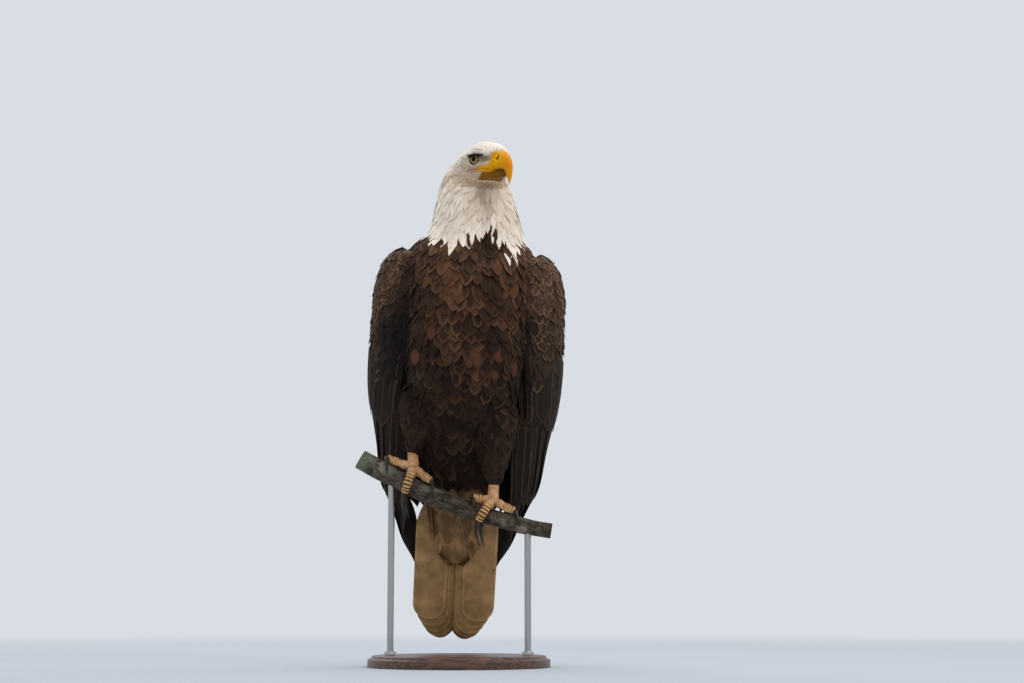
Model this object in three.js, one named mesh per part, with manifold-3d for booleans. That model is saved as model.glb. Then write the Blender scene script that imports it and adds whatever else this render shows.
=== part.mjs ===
// A life-size bald eagle, perched upright on a cut length of branch over a plain display stand.
// Millimetres, +Z up. The origin is the centre of the base's underside.
// The bird faces -Y, and its left is +X.
import * as THREE from 'three';
import { mergeVertices } from 'three/addons/utils/BufferGeometryUtils.js';
import Module from 'manifold-3d';

const wasm = await Module();
wasm.setup();

const { PI, cos, sin, sqrt, abs, max, min } = Math;
const radians = THREE.MathUtils.degToRad;
const mix = THREE.MathUtils.lerp;

// Driving dimensions.
const perchHeight = 240; // perch centreline over the floor, at mid length
const lean = radians(3.2); // the whole bird leans a little to its left
const bodyOffset = -4.5; // the bird's midplane at the perch, from the stand's middle
const gap = 0.3; // clearance between touching pieces
const headTurn = radians(29); // the head looks to the bird's left
const headRoll = radians(0.5); // and is held a little the other way from the lean
const eyeMiddle = { x: 20, y: -40, z: 534.5 }; // midpoint between the eyes, over the perch's centreline
const eyeSpot = { forward: -2, out: 22.5, up: -1.8 }; // each eyeball's centre from that midpoint
const eyeRadius = 9.6;
const billTaper = 0.34; // how much narrower each section of the bill is above than below
// The hollow under each brow, round the eye and before it: half sizes, where its middle is, and how far
// it turns inwards.
const hollow = { forward: 20, deep: 8.5, high: 8.5, ahead: 11, out: 34, up: -2.8, inward: 0.45 };
const headCutHeight = 500; // where head and neck part, at the neck's axis
const ventCutHeight = 12; // where trunk and tail coverts part
const tailTop = { y: 84, z: 44 };
const tailTip = { y: 146, z: -200 };
const tailHalfWidth = 66;
const tailThickness = 9;
const tailArch = 9; // how far the tail's edges lie in front of its middle
const perchReach = { left: -152, right: 140 };
const perchRadius = 13.6;
const perchTaper = 0.013; // radius lost for each millimetre to the bird's left
const baseRadius = 138;
const baseThickness = 18;
const rodRadius = 5;
const rodSpacing = 104; // from the middle to each rod

// Trunk: level sections over the perch's centreline, from the tips of the undertail coverts up to the
// shoulders. front and back are in Y; full is how square a section is (2 is an ellipse).
const trunkSections = [
  { z: -92, front: 106, back: 116, half: 22, full: 2 },
  { z: -45, front: 78, back: 108, half: 40, full: 2.1 },
  { z: 0, front: 44, back: 99, half: 50, full: 2.1 },
  { z: 60, front: 8, back: 98, half: 62, full: 2.1 },
  { z: 130, front: -46, back: 98, half: 82, full: 2.1 },
  { z: 215, front: -90, back: 92, half: 95, full: 2.2 },
  { z: 300, front: -101, back: 78, half: 99, full: 2.2 },
  { z: 360, front: -90, back: 62, half: 102, full: 2.2 },
  { z: 394, front: -71, back: 52, half: 98, full: 2.1 },
  { z: 414, front: -52, back: 44, half: 84, full: 2 },
  { z: 434, front: -36, back: 36, half: 62, full: 2 },
];

// Neck: level sections, from the fringe of the hackles up into the head. shift is to the bird's left.
const neckSections = [
  { z: 384, front: -78, back: 66, half: 79, full: 2, shift: 4 },
  { z: 410, front: -71, back: 62, half: 80, full: 2, shift: 5 },
  { z: 440, front: -64, back: 56, half: 73, full: 2, shift: 5 },
  { z: 470, front: -58, back: 51, half: 66, full: 2, shift: 2 },
  { z: 500, front: -50, back: 47, half: 58.5, full: 2, shift: -1 },
  { z: 522, front: -38, back: 42, half: 48, full: 2, shift: -3 },
  { z: 546, front: -20, back: 32, half: 30, full: 2, shift: -2 },
];

// Head: upright sections across the line from the nape to the bill, in the head's own frame:
// forward, right and up from the midpoint between the eyes.
const headSections = [
  { f: -68, half: 24, top: 3, bottom: -38, full: 2 },
  { f: -55, half: 39, top: 16, bottom: -50, full: 2.2 },
  { f: -36, half: 44, top: 24, bottom: -52, full: 2.3 },
  { f: -18, half: 40, top: 28, bottom: -46, full: 2.4 },
  { f: -4, half: 35.5, top: 30.5, bottom: -38, full: 2.6 },
  { f: 8, half: 32.5, top: 29, bottom: -34, full: 2.8 },
  { f: 18, half: 27, top: 24, bottom: -31.5, full: 2.6 },
  { f: 28, half: 19, top: 15.5, bottom: -28, full: 2.4 },
  { f: 37, half: 9, top: 8, bottom: -16, full: 2.2 },
];

// Folded wing: level sections, each an arc of the ellipse that runs round body and wings.
// from and to are degrees about that ellipse, from dead ahead round to the back.
const wingSections = [
  { z: -96, middle: 108, half: 64, depth: 16, from: 84, to: 112, thick: 3 },
  { z: -49, middle: 98, half: 88, depth: 33, from: 60, to: 150, thick: 8 },
  { z: -8, middle: 86, half: 102, depth: 42, from: 54, to: 166, thick: 13 },
  { z: 37, middle: 72, half: 121, depth: 53, from: 52, to: 172, thick: 20 },
  { z: 100, middle: 56, half: 132, depth: 69, from: 50, to: 174, thick: 30 },
  { z: 195, middle: 32, half: 150, depth: 82, from: 43, to: 174, thick: 40 },
  { z: 300, middle: 6, half: 152, depth: 85, from: 39, to: 168, thick: 46 },
  { z: 352, middle: -5, half: 147, depth: 78, from: 40, to: 160, thick: 46 },
  { z: 382, middle: -9, half: 133, depth: 62, from: 46, to: 150, thick: 42 },
  { z: 400, middle: -11, half: 114, depth: 40, from: 62, to: 128, thick: 30 },
];
const wingRearShare = 0.26; // thickness at the rear edge, as a share of that in front

const legs = [
  {
    side: 'right', outward: -1, foot: -83, hip: { x: -54, y: 12, z: 190 },
    spread: [33, 6, -39], wrap: [26, 134, 14],
  },
  {
    side: 'left', outward: 1, foot: 43, hip: { x: 46, y: 12, z: 176 },
    spread: [-31, -11, 37], wrap: [14, 130, 24],
  },
];
const toeNames = ['inner', 'middle', 'outer']; // spread and wrap: each one's reach along and round the perch
const toeRadius = 6.6;
const halluxWrap = -112;
const halluxSpread = -6;
const clawLength = 38; // of the middle and, longer, the hind toe's claw
const gripClaw = { wrap: 84, sweep: 13, lift: 3.4 }; // the other claws' reach round and along the perch
const halluxClawLength = 40;
const clawRadius = 4.3;
const ankleHeight = 28; // where the bare shank begins, over the perch's top
const thighRadii = [34, 42, 42, 36, 28, 20, 14]; // evenly spaced from hip to ankle
const shankRadii = [8.2, 7.8, 8.2, 9.2];
const tailNotch = 7; // between the two rounded lobes at the tail's end

// Numbers read from a table of sections, as a smooth curve through them.
function along(rows, key, at) {
  const value = rows.map((row) => row[key]);
  const slot = (row) => row.z ?? row.f;
  let i = 0;
  while (i < rows.length - 2 && at > slot(rows[i + 1])) i += 1;
  const slope = (k) => {
    const before = max(k - 1, 0);
    const after = min(k + 1, rows.length - 1);
    return (value[after] - value[before]) / (slot(rows[after]) - slot(rows[before]));
  };
  const span = slot(rows[i + 1]) - slot(rows[i]);
  const t = min(max((at - slot(rows[i])) / span, 0), 1);
  const rise = t * t * (3 - 2 * t);
  return (
    value[i] * (1 - rise) + value[i + 1] * rise +
    span * t * (1 - t) * ((1 - t) * slope(i) - t * slope(i + 1))
  );
}

// A power of a sine or cosine that keeps its sign, which squares up an ellipse.
const squared = (value, full) => Math.sign(value) * abs(value) ** (2 / full);

// 0 at both ends, rising to 1 over the shares given, like the end of a rounded bar.
function rounded(t, startShare, endShare) {
  const start = min(t / startShare, 1);
  const end = min((1 - t) / endShare, 1);
  return sqrt(max(1 - (1 - start) ** 2, 0)) * sqrt(max(1 - (1 - end) ** 2, 0));
}

// A closed body: a sphere's grid with each point moved to place(round, run). round goes from 0 to 1
// about the body and run from 0 to 1 from end to end.
function bodyFrom(roundSteps, runSteps, place) {
  const geometry = new THREE.SphereGeometry(1, roundSteps, runSteps);
  const points = geometry.attributes.position;
  for (let row = 0; row <= runSteps; row += 1) {
    for (let column = 0; column <= roundSteps; column += 1) {
      const spot = place((column % roundSteps) / roundSteps, row / runSteps);
      points.setXYZ(row * (roundSteps + 1) + column, spot.x, spot.y, spot.z);
    }
  }
  return geometry;
}

// A closed mesh as a solid that can be joined and cut, turned the right way out.
function solidOf(geometry) {
  const bare = geometry.clone();
  bare.deleteAttribute('normal');
  bare.deleteAttribute('uv');
  const merged = mergeVertices(bare, 1e-3);
  const position = merged.attributes.position;
  const index = Array.from(merged.index.array);
  const a = new THREE.Vector3();
  const b = new THREE.Vector3();
  const c = new THREE.Vector3();
  const faces = [];
  let volume = 0;
  for (let i = 0; i < index.length; i += 3) {
    const [p, q, r] = [index[i], index[i + 1], index[i + 2]];
    if (p !== q && q !== r && r !== p) {
      faces.push([p, q, r]);
      a.fromBufferAttribute(position, p);
      b.fromBufferAttribute(position, q);
      c.fromBufferAttribute(position, r);
      volume += a.dot(b.cross(c));
    }
  }
  const turned = faces.map(([p, q, r]) => (volume < 0 ? [p, r, q] : [p, q, r]));
  const mesh = new wasm.Mesh({
    numProp: 3,
    vertProperties: new Float32Array(position.array),
    triVerts: new Uint32Array(turned.flat()),
  });
  return new wasm.Manifold(mesh);
}

// The largest body of a cut solid, as a geometry.
function geometryOf(solid) {
  const bodies = solid.decompose();
  bodies.sort((one, other) => other.volume() - one.volume());
  const mesh = bodies[0].getMesh();
  const geometry = new THREE.BufferGeometry();
  const points = new THREE.BufferAttribute(new Float32Array(mesh.vertProperties), 3);
  geometry.setAttribute('position', points);
  geometry.setIndex(new THREE.BufferAttribute(new Uint32Array(mesh.triVerts), 1));
  geometry.computeVertexNormals();
  return geometry;
}

const model = new THREE.Group();

function addPart(name, solid, look) {
  const mesh = new THREE.Mesh(geometryOf(solid), new THREE.MeshStandardMaterial(look));
  mesh.name = name;
  model.add(mesh);
}

const looks = {
  whiteFeather: { color: 0xe6dccf, roughness: 0.85, metalness: 0 },
  brownFeather: { color: 0x3a281b, roughness: 0.8, metalness: 0 },
  wingFeather: { color: 0x46301f, roughness: 0.75, metalness: 0 },
  primaryFeather: { color: 0x241b14, roughness: 0.7, metalness: 0 },
  tailFeather: { color: 0xb09a7c, roughness: 0.8, metalness: 0 },
  bill: { color: 0xd98a12, roughness: 0.35, metalness: 0 },
  cere: { color: 0xdda51f, roughness: 0.5, metalness: 0 },
  eye: { color: 0xcdbf8d, roughness: 0.1, metalness: 0 },
  foot: { color: 0xc99a4e, roughness: 0.55, metalness: 0 },
  claw: { color: 0x2d2824, roughness: 0.3, metalness: 0 },
  bark: { color: 0x5c5348, roughness: 0.95, metalness: 0 },
  base: { color: 0x5a3b25, roughness: 0.5, metalness: 0 },
  rod: { color: 0x8c8c8c, roughness: 0.3, metalness: 0.9 },
};

// From the bird's own upright frame, over the perch, to the model's.
function onBird(x, y, z) {
  return new THREE.Vector3(
    x * cos(lean) + z * sin(lean) + bodyOffset,
    y,
    z * cos(lean) - x * sin(lean) + perchHeight,
  );
}

// From the head's frame: forward, to its right and up from the midpoint between the eyes.
function onHead(f, r, h) {
  const level = r * cos(headRoll) + h * sin(headRoll);
  const raised = h * cos(headRoll) - r * sin(headRoll);
  return onBird(eyeMiddle.x, eyeMiddle.y, eyeMiddle.z).add(new THREE.Vector3(
    f * sin(headTurn) - level * cos(headTurn),
    -f * cos(headTurn) - level * sin(headTurn),
    raised,
  ));
}

// A block far larger than the bird, below the plane through a point with the given upward normal.
function blockBelow(point, normal) {
  const size = 1400;
  const block = new THREE.BoxGeometry(size, size, size);
  const upward = normal.clone().normalize();
  block.applyQuaternion(new THREE.Quaternion().setFromUnitVectors(new THREE.Vector3(0, 0, 1), upward));
  const middle = upward.clone().multiplyScalar(-size / 2).add(point);
  block.translate(middle.x, middle.y, middle.z);
  return solidOf(block);
}

// More rows near both ends, where a body closes.
const eased = (run) => mix(run, (1 - cos(PI * run)) / 2, 0.6);

// A body of level sections, closed at both ends, made larger all over by grow.
function levelBody(sections, roundSteps, runSteps, grow) {
  const low = sections[0].z - grow;
  const high = sections[sections.length - 1].z + grow;
  return solidOf(bodyFrom(roundSteps, runSteps, (round, run) => {
    const share = eased(run);
    const z = mix(low, high, share);
    const front = along(sections, 'front', z) - grow;
    const back = along(sections, 'back', z) + grow;
    const half = along(sections, 'half', z) + grow;
    const full = along(sections, 'full', z);
    const close = rounded(share, 0.05, 0.05);
    const angle = round * 2 * PI;
    const shift = sections === neckSections ? along(sections, 'shift', z) : 0;
    const x = shift + half * close * squared(sin(angle), full);
    const y = (front + back) / 2 - ((back - front) / 2) * close * squared(cos(angle), full);
    return onBird(x, y, z);
  }));
}

const trunkSolid = (grow) => levelBody(trunkSections, 24, 18, grow);
const neckSolid = (grow) => levelBody(neckSections, 22, 11, grow);

function headSolid(grow) {
  const rear = headSections[0].f - grow;
  const face = headSections[headSections.length - 1].f + grow;
  return solidOf(bodyFrom(20, 15, (round, run) => {
    const share = eased(run);
    const f = mix(rear, face, share);
    const half = along(headSections, 'half', f) + grow;
    const top = along(headSections, 'top', f) + grow;
    const bottom = along(headSections, 'bottom', f) - grow;
    const close = rounded(share, 0.12, 0.06);
    const full = along(headSections, 'full', f);
    const angle = round * 2 * PI;
    const r = half * close * squared(sin(angle), full);
    const h = (top + bottom) / 2 + ((top - bottom) / 2) * close * squared(cos(angle), full);
    return onHead(f, r, h);
  }));
}

function eyeBall(sign, radius) {
  const ball = new THREE.SphereGeometry(radius, 12, 8);
  const centre = onHead(eyeSpot.forward, sign * eyeSpot.out, eyeSpot.up);
  ball.translate(centre.x, centre.y, centre.z);
  return solidOf(ball);
}

// The hollow between brow and cheek that each eye looks out of.
function eyeHollow(sign) {
  const bowl = new THREE.SphereGeometry(1, 14, 8);
  bowl.scale(hollow.forward, hollow.deep, hollow.high);
  bowl.rotateZ(headTurn - PI / 2 + sign * hollow.inward);
  const centre = onHead(hollow.ahead, sign * hollow.out, hollow.up);
  bowl.translate(centre.x, centre.y, centre.z);
  return solidOf(bowl);
}

// A smooth curve of numbers, evenly spaced from end to end.
function evenCurve(values) {
  return new THREE.SplineCurve(values.map((value, i) => new THREE.Vector2(i / (values.length - 1), value)));
}

// A bill piece: sections that stand between an upper and a lower outline in the head's midplane.
function billSolid(upper, lower, halves, grow, steps) {
  const top = new THREE.SplineCurve(upper.map(([f, h]) => new THREE.Vector2(f, h)));
  const bottom = new THREE.SplineCurve(lower.map(([f, h]) => new THREE.Vector2(f, h)));
  const width = evenCurve(halves);
  return solidOf(bodyFrom(14, steps, (round, run) => {
    const t = min(max((run * steps - 1) / (steps - 2), 0), 1);
    const inside = run === 0 || run === 1 ? 0 : 1;
    const above = top.getPoint(t);
    const below = bottom.getPoint(t);
    const angle = round * 2 * PI;
    const middle = above.clone().add(below).multiplyScalar(0.5);
    const reach = above.clone().sub(below).multiplyScalar(0.5);
    reach.setLength(reach.length() + grow);
    const part = inside * squared(cos(angle), 2);
    const narrower = 1 - (billTaper * (1 + part)) / 2;
    const r = (max(width.getPoint(t).y, 0.1) * narrower + grow) * inside * squared(sin(angle), 2.4);
    return onHead(middle.x + reach.x * part, r, middle.y + reach.y * part);
  }));
}

// Outlines in the head's midplane, as forward and up; the upper bill's ends meet at the tip of its hook.
const culmen = [
  [40, 7.4], [48, 5.2], [55, 1], [61, -6], [65.2, -14.5],
  [67.6, -24.5], [67.8, -34.5], [66, -42.5], [63, -49.4],
];
const tomium = [
  [40, -21.8], [46, -22.8], [51, -24.4], [55, -27], [57.6, -31],
  [59.2, -36], [60.4, -41], [61.4, -45.5], [62.4, -49.8],
];
const upperHalves = [12.8, 12.2, 11, 9.4, 7.8, 6.2, 4.6, 2.8, 0.6];
const cereTop = [[16, 4.5], [26, 7.6], [34, 8.4], [39.7, 7.5]];
const cereBottom = [[16, -19], [26, -20], [34, -21], [39.7, -21.7]];
const cereHalves = [17, 16, 14.6, 13];
const lowerTop = [[2, -20.6], [20, -21], [36, -22.6], [48, -25], [53.5, -27.6]];
const lowerBottom = [[2, -30.4], [20, -32], [36, -34.2], [47, -34], [53.5, -30.6]];
const lowerHalves = [21, 15.6, 10.6, 7.2, 2.2];

// The folded wing, mirrored by outward (1 is the bird's left, -1 its right).
function wingSolid(outward, grow) {
  const tip = wingSections[0].z;
  const top = wingSections[wingSections.length - 1].z + 4;
  return solidOf(bodyFrom(18, 18, (round, run) => {
    const share = eased(run);
    const z = mix(tip, top, share);
    const turn = round * 2 * PI;
    const close = rounded(share, 0.04, 0.07);
    const from = along(wingSections, 'from', z);
    const to = along(wingSections, 'to', z);
    const across = (1 - close * cos(turn)) / 2;
    const angle = radians(mix(from, to, across));
    const thick = along(wingSections, 'thick', z) * mix(1, wingRearShare, across ** 0.8);
    const reach = (thick / 2 + grow) * close * sin(turn);
    const half = along(wingSections, 'half', z) - thick / 2 + reach;
    const depth = along(wingSections, 'depth', z) - thick / 2 + reach;
    return onBird(
      outward * half * sin(angle),
      along(wingSections, 'middle', z) - depth * cos(angle),
      z,
    );
  }));
}

// The closed tail, a shallow arch across with two rounded lobes at its end.
function tailSolid(grow) {
  return solidOf(bodyFrom(16, 14, (round, run) => {
    const share = eased(run);
    const turn = round * 2 * PI;
    const width = mix(0.62, 1, min(share / 0.35, 1)) * rounded(share, 0.02, 0.24) ** 1.6;
    const across = sin(turn) * width;
    const thick = ((tailThickness / 2) * mix(1.5, 0.5, share) + grow) * rounded(share, 0.02, 0.08);
    const x = across * (tailHalfWidth + grow);
    const lobe = tailNotch * max(1 - abs(x) / 30, 0) * max((share - 0.75) / 0.25, 0);
    return onBird(
      x,
      mix(tailTop.y, tailTip.y, share) - tailArch * across * across + thick * cos(turn),
      mix(tailTop.z, tailTip.z, share) + lobe,
    );
  }));
}

// The perch's centreline, steeper on the bird's right, and its radius there.
function perchMiddle(x) {
  return new THREE.Vector3(x, 0, perchHeight + 1.3 - 0.366 * x + 0.00074 * x * x);
}

const radiusAt = (x) => perchRadius - perchTaper * x;

function perchSolid(grow) {
  const steps = 14;
  return solidOf(bodyFrom(12, steps, (round, run) => {
    const t = min(max((run * steps - 1) / (steps - 2), 0), 1);
    const inside = run === 0 || run === 1 ? 0 : 1;
    const x = mix(perchReach.left - grow, perchReach.right + grow, t);
    const middle = perchMiddle(x);
    const onward = perchMiddle(x + 1).sub(middle).normalize();
    const up = new THREE.Vector3(-onward.z, 0, onward.x);
    const angle = round * 2 * PI;
    const lump = 1 + 0.04 * sin(3 * angle + x / 23) + 0.03 * sin(x / 11);
    const reach = (radiusAt(x) * lump + grow) * inside;
    return middle.addScaledVector(up, reach * cos(angle)).add(new THREE.Vector3(0, -reach * sin(angle), 0));
  }));
}

// A round limb along a curve: widths are its radii, evenly spaced from end to end.
function limb(curve, radii, roundSteps, steps, grow, endShare) {
  const frames = curve.computeFrenetFrames(steps, false);
  const width = evenCurve(radii);
  return solidOf(bodyFrom(roundSteps, steps, (round, run) => {
    const step = Math.round(run * steps);
    const angle = round * 2 * PI;
    const reach = (width.getPoint(run).y + grow) * rounded(run, endShare, endShare);
    return curve.getPointAt(run)
      .addScaledVector(frames.normals[step], reach * cos(angle))
      .addScaledVector(frames.binormals[step], reach * sin(angle));
  }));
}

// A point beside the perch: wrap is degrees from its top round its front, lift the height off the bark.
function besidePerch(x, wrap, lift) {
  const middle = perchMiddle(x);
  const onward = perchMiddle(x + 1).sub(middle).normalize();
  const up = new THREE.Vector3(-onward.z, 0, onward.x);
  const reach = radiusAt(x) * 1.07 + lift;
  return middle
    .addScaledVector(up, reach * cos(radians(wrap)))
    .add(new THREE.Vector3(0, -reach * sin(radians(wrap)), 0));
}

function toeCurve(foot, spread, wrap) {
  const spots = [0, 0.3, 0.65, 1].map((share) =>
    besidePerch(foot + spread * share, wrap * share, toeRadius + 5.5 * (1 - share) ** 2),
  );
  return new THREE.CatmullRomCurve3(spots);
}

function clawCurve(toe, length) {
  const start = toe.getPointAt(1);
  const onward = toe.getTangentAt(1);
  const reach = length * 0.4;
  const bend = start.clone().addScaledVector(onward, reach);
  const away = new THREE.Vector3(-onward.x * 0.9, onward.y * 0.12, -1);
  return new THREE.QuadraticBezierCurve3(
    start.addScaledVector(onward, 1.5),
    bend,
    bend.clone().addScaledVector(away.normalize(), length * 0.72),
  );
}

// A claw that lies against the perch's front: it goes on round from its toe, and hangs plumb because its
// reach to the bird's left makes up for the perch's slope.
function gripCurve(foot, spread, wrap) {
  const spots = [0, 0.5, 1].map((share) => besidePerch(
    foot + spread + gripClaw.sweep * share,
    wrap + gripClaw.wrap * share,
    mix(toeRadius, gripClaw.lift, share),
  ));
  return new THREE.CatmullRomCurve3(spots);
}

const perch = perchSolid(0);
const perchClear = perchSolid(gap);

// Head, neck, trunk and tail coverts lie in and on one another, parted by thin cuts.
const headTilt = new THREE.Vector3(-sin(headTurn) * 0.35, cos(headTurn) * 0.35, 1);
const ventTilt = new THREE.Vector3(0, -0.5, 1);
const headPlane = onBird(0, -8, headCutHeight);
const ventPlane = onBird(0, 60, ventCutHeight);
const lowered = (point) => point.clone().add(new THREE.Vector3(0, 0, -gap));
const eyes = { right: 1, left: -1 };

const upperFlesh = headSolid(0).add(neckSolid(0));
let head = upperFlesh.subtract(blockBelow(headPlane, headTilt));
for (const sign of Object.values(eyes)) {
  head = head.subtract(eyeHollow(sign)).subtract(eyeBall(sign, eyeRadius + gap));
}
const neck = upperFlesh.intersect(blockBelow(lowered(headPlane), headTilt));
const neckClear = headSolid(gap).add(neckSolid(gap));
const trunkWhole = trunkSolid(0).subtract(neckClear);
const trunk = trunkWhole.subtract(blockBelow(ventPlane, ventTilt));
const trunkClear = trunkSolid(gap)
  .subtract(blockBelow(lowered(ventPlane), ventTilt))
  .add(neckClear);
const tail = tailSolid(0).subtract(trunkClear);
const coverts = trunkWhole.intersect(blockBelow(lowered(ventPlane), ventTilt)).subtract(tailSolid(gap));

const headClear = headSolid(gap);
const cereClear = billSolid(cereTop, cereBottom, cereHalves, gap, 5);
const upperClear = billSolid(culmen, tomium, upperHalves, gap, 12);
const cere = billSolid(cereTop, cereBottom, cereHalves, 0, 5).subtract(headClear);
const upper = billSolid(culmen, tomium, upperHalves, 0, 12).subtract(headClear).subtract(cereClear);
const lower = billSolid(lowerTop, lowerBottom, lowerHalves, 0, 7)
  .subtract(headClear)
  .subtract(cereClear)
  .subtract(upperClear);

addPart('head', head, looks.whiteFeather);
addPart('neck', neck, looks.whiteFeather);
addPart('trunk', trunk, looks.brownFeather);
addPart('tail_coverts', coverts.subtract(perchClear), looks.tailFeather);
addPart('tail', tail, looks.tailFeather);
addPart('bill_cere', cere, looks.cere);
addPart('bill_upper', upper, looks.bill);
addPart('bill_lower', lower, looks.bill);
for (const [side, sign] of Object.entries(eyes)) {
  addPart(`eye_${side}`, eyeBall(sign, eyeRadius), looks.eye);
}

// Wings, each parted into its coverts, its secondaries and its primaries.
const covertPlane = onBird(0, 40, 205);
const covertTilt = new THREE.Vector3(0, -0.5, 1);
const primaryPlane = onBird(0, 90, 22);
const primaryTilt = new THREE.Vector3(0, -0.9, 1);
const tailClear = tailSolid(gap);
for (const [side, outward] of [['right', -1], ['left', 1]]) {
  const wing = wingSolid(outward, 0).subtract(trunkClear).subtract(tailClear).subtract(perchClear);
  const overSecondaries = blockBelow(covertPlane, covertTilt);
  const underCoverts = blockBelow(lowered(covertPlane), covertTilt);
  const overPrimaries = blockBelow(primaryPlane, primaryTilt);
  const underSecondaries = blockBelow(lowered(primaryPlane), primaryTilt);
  const secondaries = wing.intersect(underCoverts).subtract(overPrimaries);
  addPart(`wing_${side}_coverts`, wing.subtract(overSecondaries), looks.wingFeather);
  addPart(`wing_${side}_secondaries`, secondaries, looks.wingFeather);
  addPart(`wing_${side}_primaries`, wing.intersect(underSecondaries), looks.primaryFeather);
}
const wingsClear = wingSolid(-1, gap).add(wingSolid(1, gap));

// Legs: a feathered thigh, a short bare shank, and a foot of four toes with their claws.
for (const leg of legs) {
  const knuckle = besidePerch(leg.foot, 0, toeRadius + 5.5);
  const ankle = knuckle.clone().add(new THREE.Vector3(leg.outward * 2, 9, ankleHeight));
  const hip = onBird(leg.hip.x, leg.hip.y, leg.hip.z);
  const knee = hip.clone().lerp(ankle, 0.5).add(new THREE.Vector3(0, -14, 0));
  const hock = ankle.clone().add(new THREE.Vector3(0, 0, -9));
  const thighCurve = new THREE.CatmullRomCurve3([hip, knee, hock]);
  const shankCurve = new THREE.CatmullRomCurve3([ankle, knuckle.clone().lerp(ankle, 0.5), knuckle]);
  const shank = (grow) => limb(shankCurve, shankRadii, 10, 5, grow, 0.2);
  const thigh = limb(thighCurve, thighRadii, 12, 8, 0, 0.14);
  const thighCut = thigh.subtract(trunkClear).subtract(wingsClear).subtract(shank(gap));
  addPart(`thigh_${leg.side}`, thighCut, looks.brownFeather);
  addPart(`shank_${leg.side}`, shank(0).subtract(perchClear).subtract(trunkClear), looks.foot);
  let taken = shank(gap).add(perchClear);
  const digits = toeNames.map((toe, i) => (
    { toe, spread: leg.spread[i], wrap: leg.wrap[i], length: clawLength }
  ));
  const hindSpread = leg.outward * halluxSpread;
  digits.push({ toe: 'hind', spread: hindSpread, wrap: halluxWrap, length: halluxClawLength });
  for (const { toe, spread, wrap, length } of digits) {
    const curve = toeCurve(leg.foot, spread, wrap);
    const hangs = toe === 'middle' || toe === 'hind';
    const claw = hangs ? clawCurve(curve, length) : gripCurve(leg.foot, spread, wrap);
    const toeRadii = [toeRadius, toeRadius, toeRadius * 0.92, toeRadius * 0.85];
    const clawRadii = [clawRadius, clawRadius * 0.8, clawRadius * 0.5, 0.8];
    const toeBody = (grow) => limb(curve, toeRadii, 8, 6, grow, 0.16);
    const clawBody = (grow) => limb(claw, clawRadii, 6, 6, grow, 0.08);
    addPart(`toe_${leg.side}_${toe}`, toeBody(0).subtract(taken), looks.foot);
    addPart(`claw_${leg.side}_${toe}`, clawBody(0).subtract(toeBody(gap)).subtract(taken), looks.claw);
    taken = taken.add(toeBody(gap)).add(clawBody(gap));
  }
}

// The cut length of branch and the stand below it.
addPart('perch', perch, looks.bark);
const base = new THREE.LatheGeometry([
  new THREE.Vector2(0, 0),
  new THREE.Vector2(baseRadius, 0),
  new THREE.Vector2(baseRadius, baseThickness - 3),
  new THREE.Vector2(baseRadius - 3, baseThickness),
  new THREE.Vector2(0, baseThickness),
], 40);
base.rotateX(PI / 2);
addPart('stand_base', solidOf(base), looks.base);
for (const [side, sign] of [['right', -1], ['left', 1]]) {
  const foot = baseThickness + gap;
  const height = perchMiddle(sign * rodSpacing).z - foot;
  const rod = new THREE.CylinderGeometry(rodRadius, rodRadius, height, 20);
  rod.rotateX(PI / 2);
  rod.translate(sign * rodSpacing, 0, foot + height / 2);
  addPart(`stand_rod_${side}`, solidOf(rod).subtract(perchClear), looks.rod);
}

export default model;
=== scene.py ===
from functools import partial
import bpy
import numpy as np
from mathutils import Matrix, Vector


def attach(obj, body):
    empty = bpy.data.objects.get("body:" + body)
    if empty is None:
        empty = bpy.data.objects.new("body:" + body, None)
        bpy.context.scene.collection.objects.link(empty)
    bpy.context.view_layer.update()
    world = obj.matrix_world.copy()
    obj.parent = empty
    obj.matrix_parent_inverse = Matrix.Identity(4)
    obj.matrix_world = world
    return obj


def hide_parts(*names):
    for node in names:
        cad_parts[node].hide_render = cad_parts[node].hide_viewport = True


# A life-size bald eagle on a cut branch over a plain stand: skin, coat of feathers, bill, eyes, feet.
# Lengths are in millimetres until a mesh is made; the bird faces -Y and its left is +X.
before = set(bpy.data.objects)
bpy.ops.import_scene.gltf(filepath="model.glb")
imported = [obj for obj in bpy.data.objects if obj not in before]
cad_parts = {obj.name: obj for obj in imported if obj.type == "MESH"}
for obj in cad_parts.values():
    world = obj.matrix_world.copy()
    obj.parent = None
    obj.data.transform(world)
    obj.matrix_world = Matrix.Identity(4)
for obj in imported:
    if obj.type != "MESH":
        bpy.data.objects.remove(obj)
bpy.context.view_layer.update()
rng = np.random.default_rng(7)

bird = {
    "perchHeight": 240, "lean": 3.2, "offset": -4.5,  # over the floor; to its left; from the middle
    "headTurn": 29, "headRoll": 0.5, "eyeMiddle": (20, -40, 534.5),
}

leanSlope = 0.056    # tangent of the lean

# Level sections of the trunk: height, front, back, half width, fullness, shift.
trunkTable = np.array([
    [-92, 106, 116, 22, 2, 0], [-45, 78, 108, 40, 2.1, 0], [0, 44, 99, 50, 2.1, 0],
    [60, 8, 98, 62, 2.1, 0], [130, -46, 98, 82, 2.1, 0], [215, -90, 92, 95, 2.2, 0],
    [300, -101, 78, 99, 2.2, 0], [360, -90, 62, 102, 2.2, 0], [394, -71, 52, 98, 2.1, 0],
    [414, -52, 44, 84, 2, 0], [434, -36, 36, 62, 2, 0]], float)
neckTable = np.array([
    [384, -78, 66, 79, 2, 4], [410, -71, 62, 80, 2, 5], [440, -64, 56, 73, 2, 5],
    [470, -58, 51, 66, 2, 2], [500, -50, 47, 58.5, 2, -1], [522, -38, 42, 48, 2, -3],
    [546, -20, 32, 30, 2, -2]], float)
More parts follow.
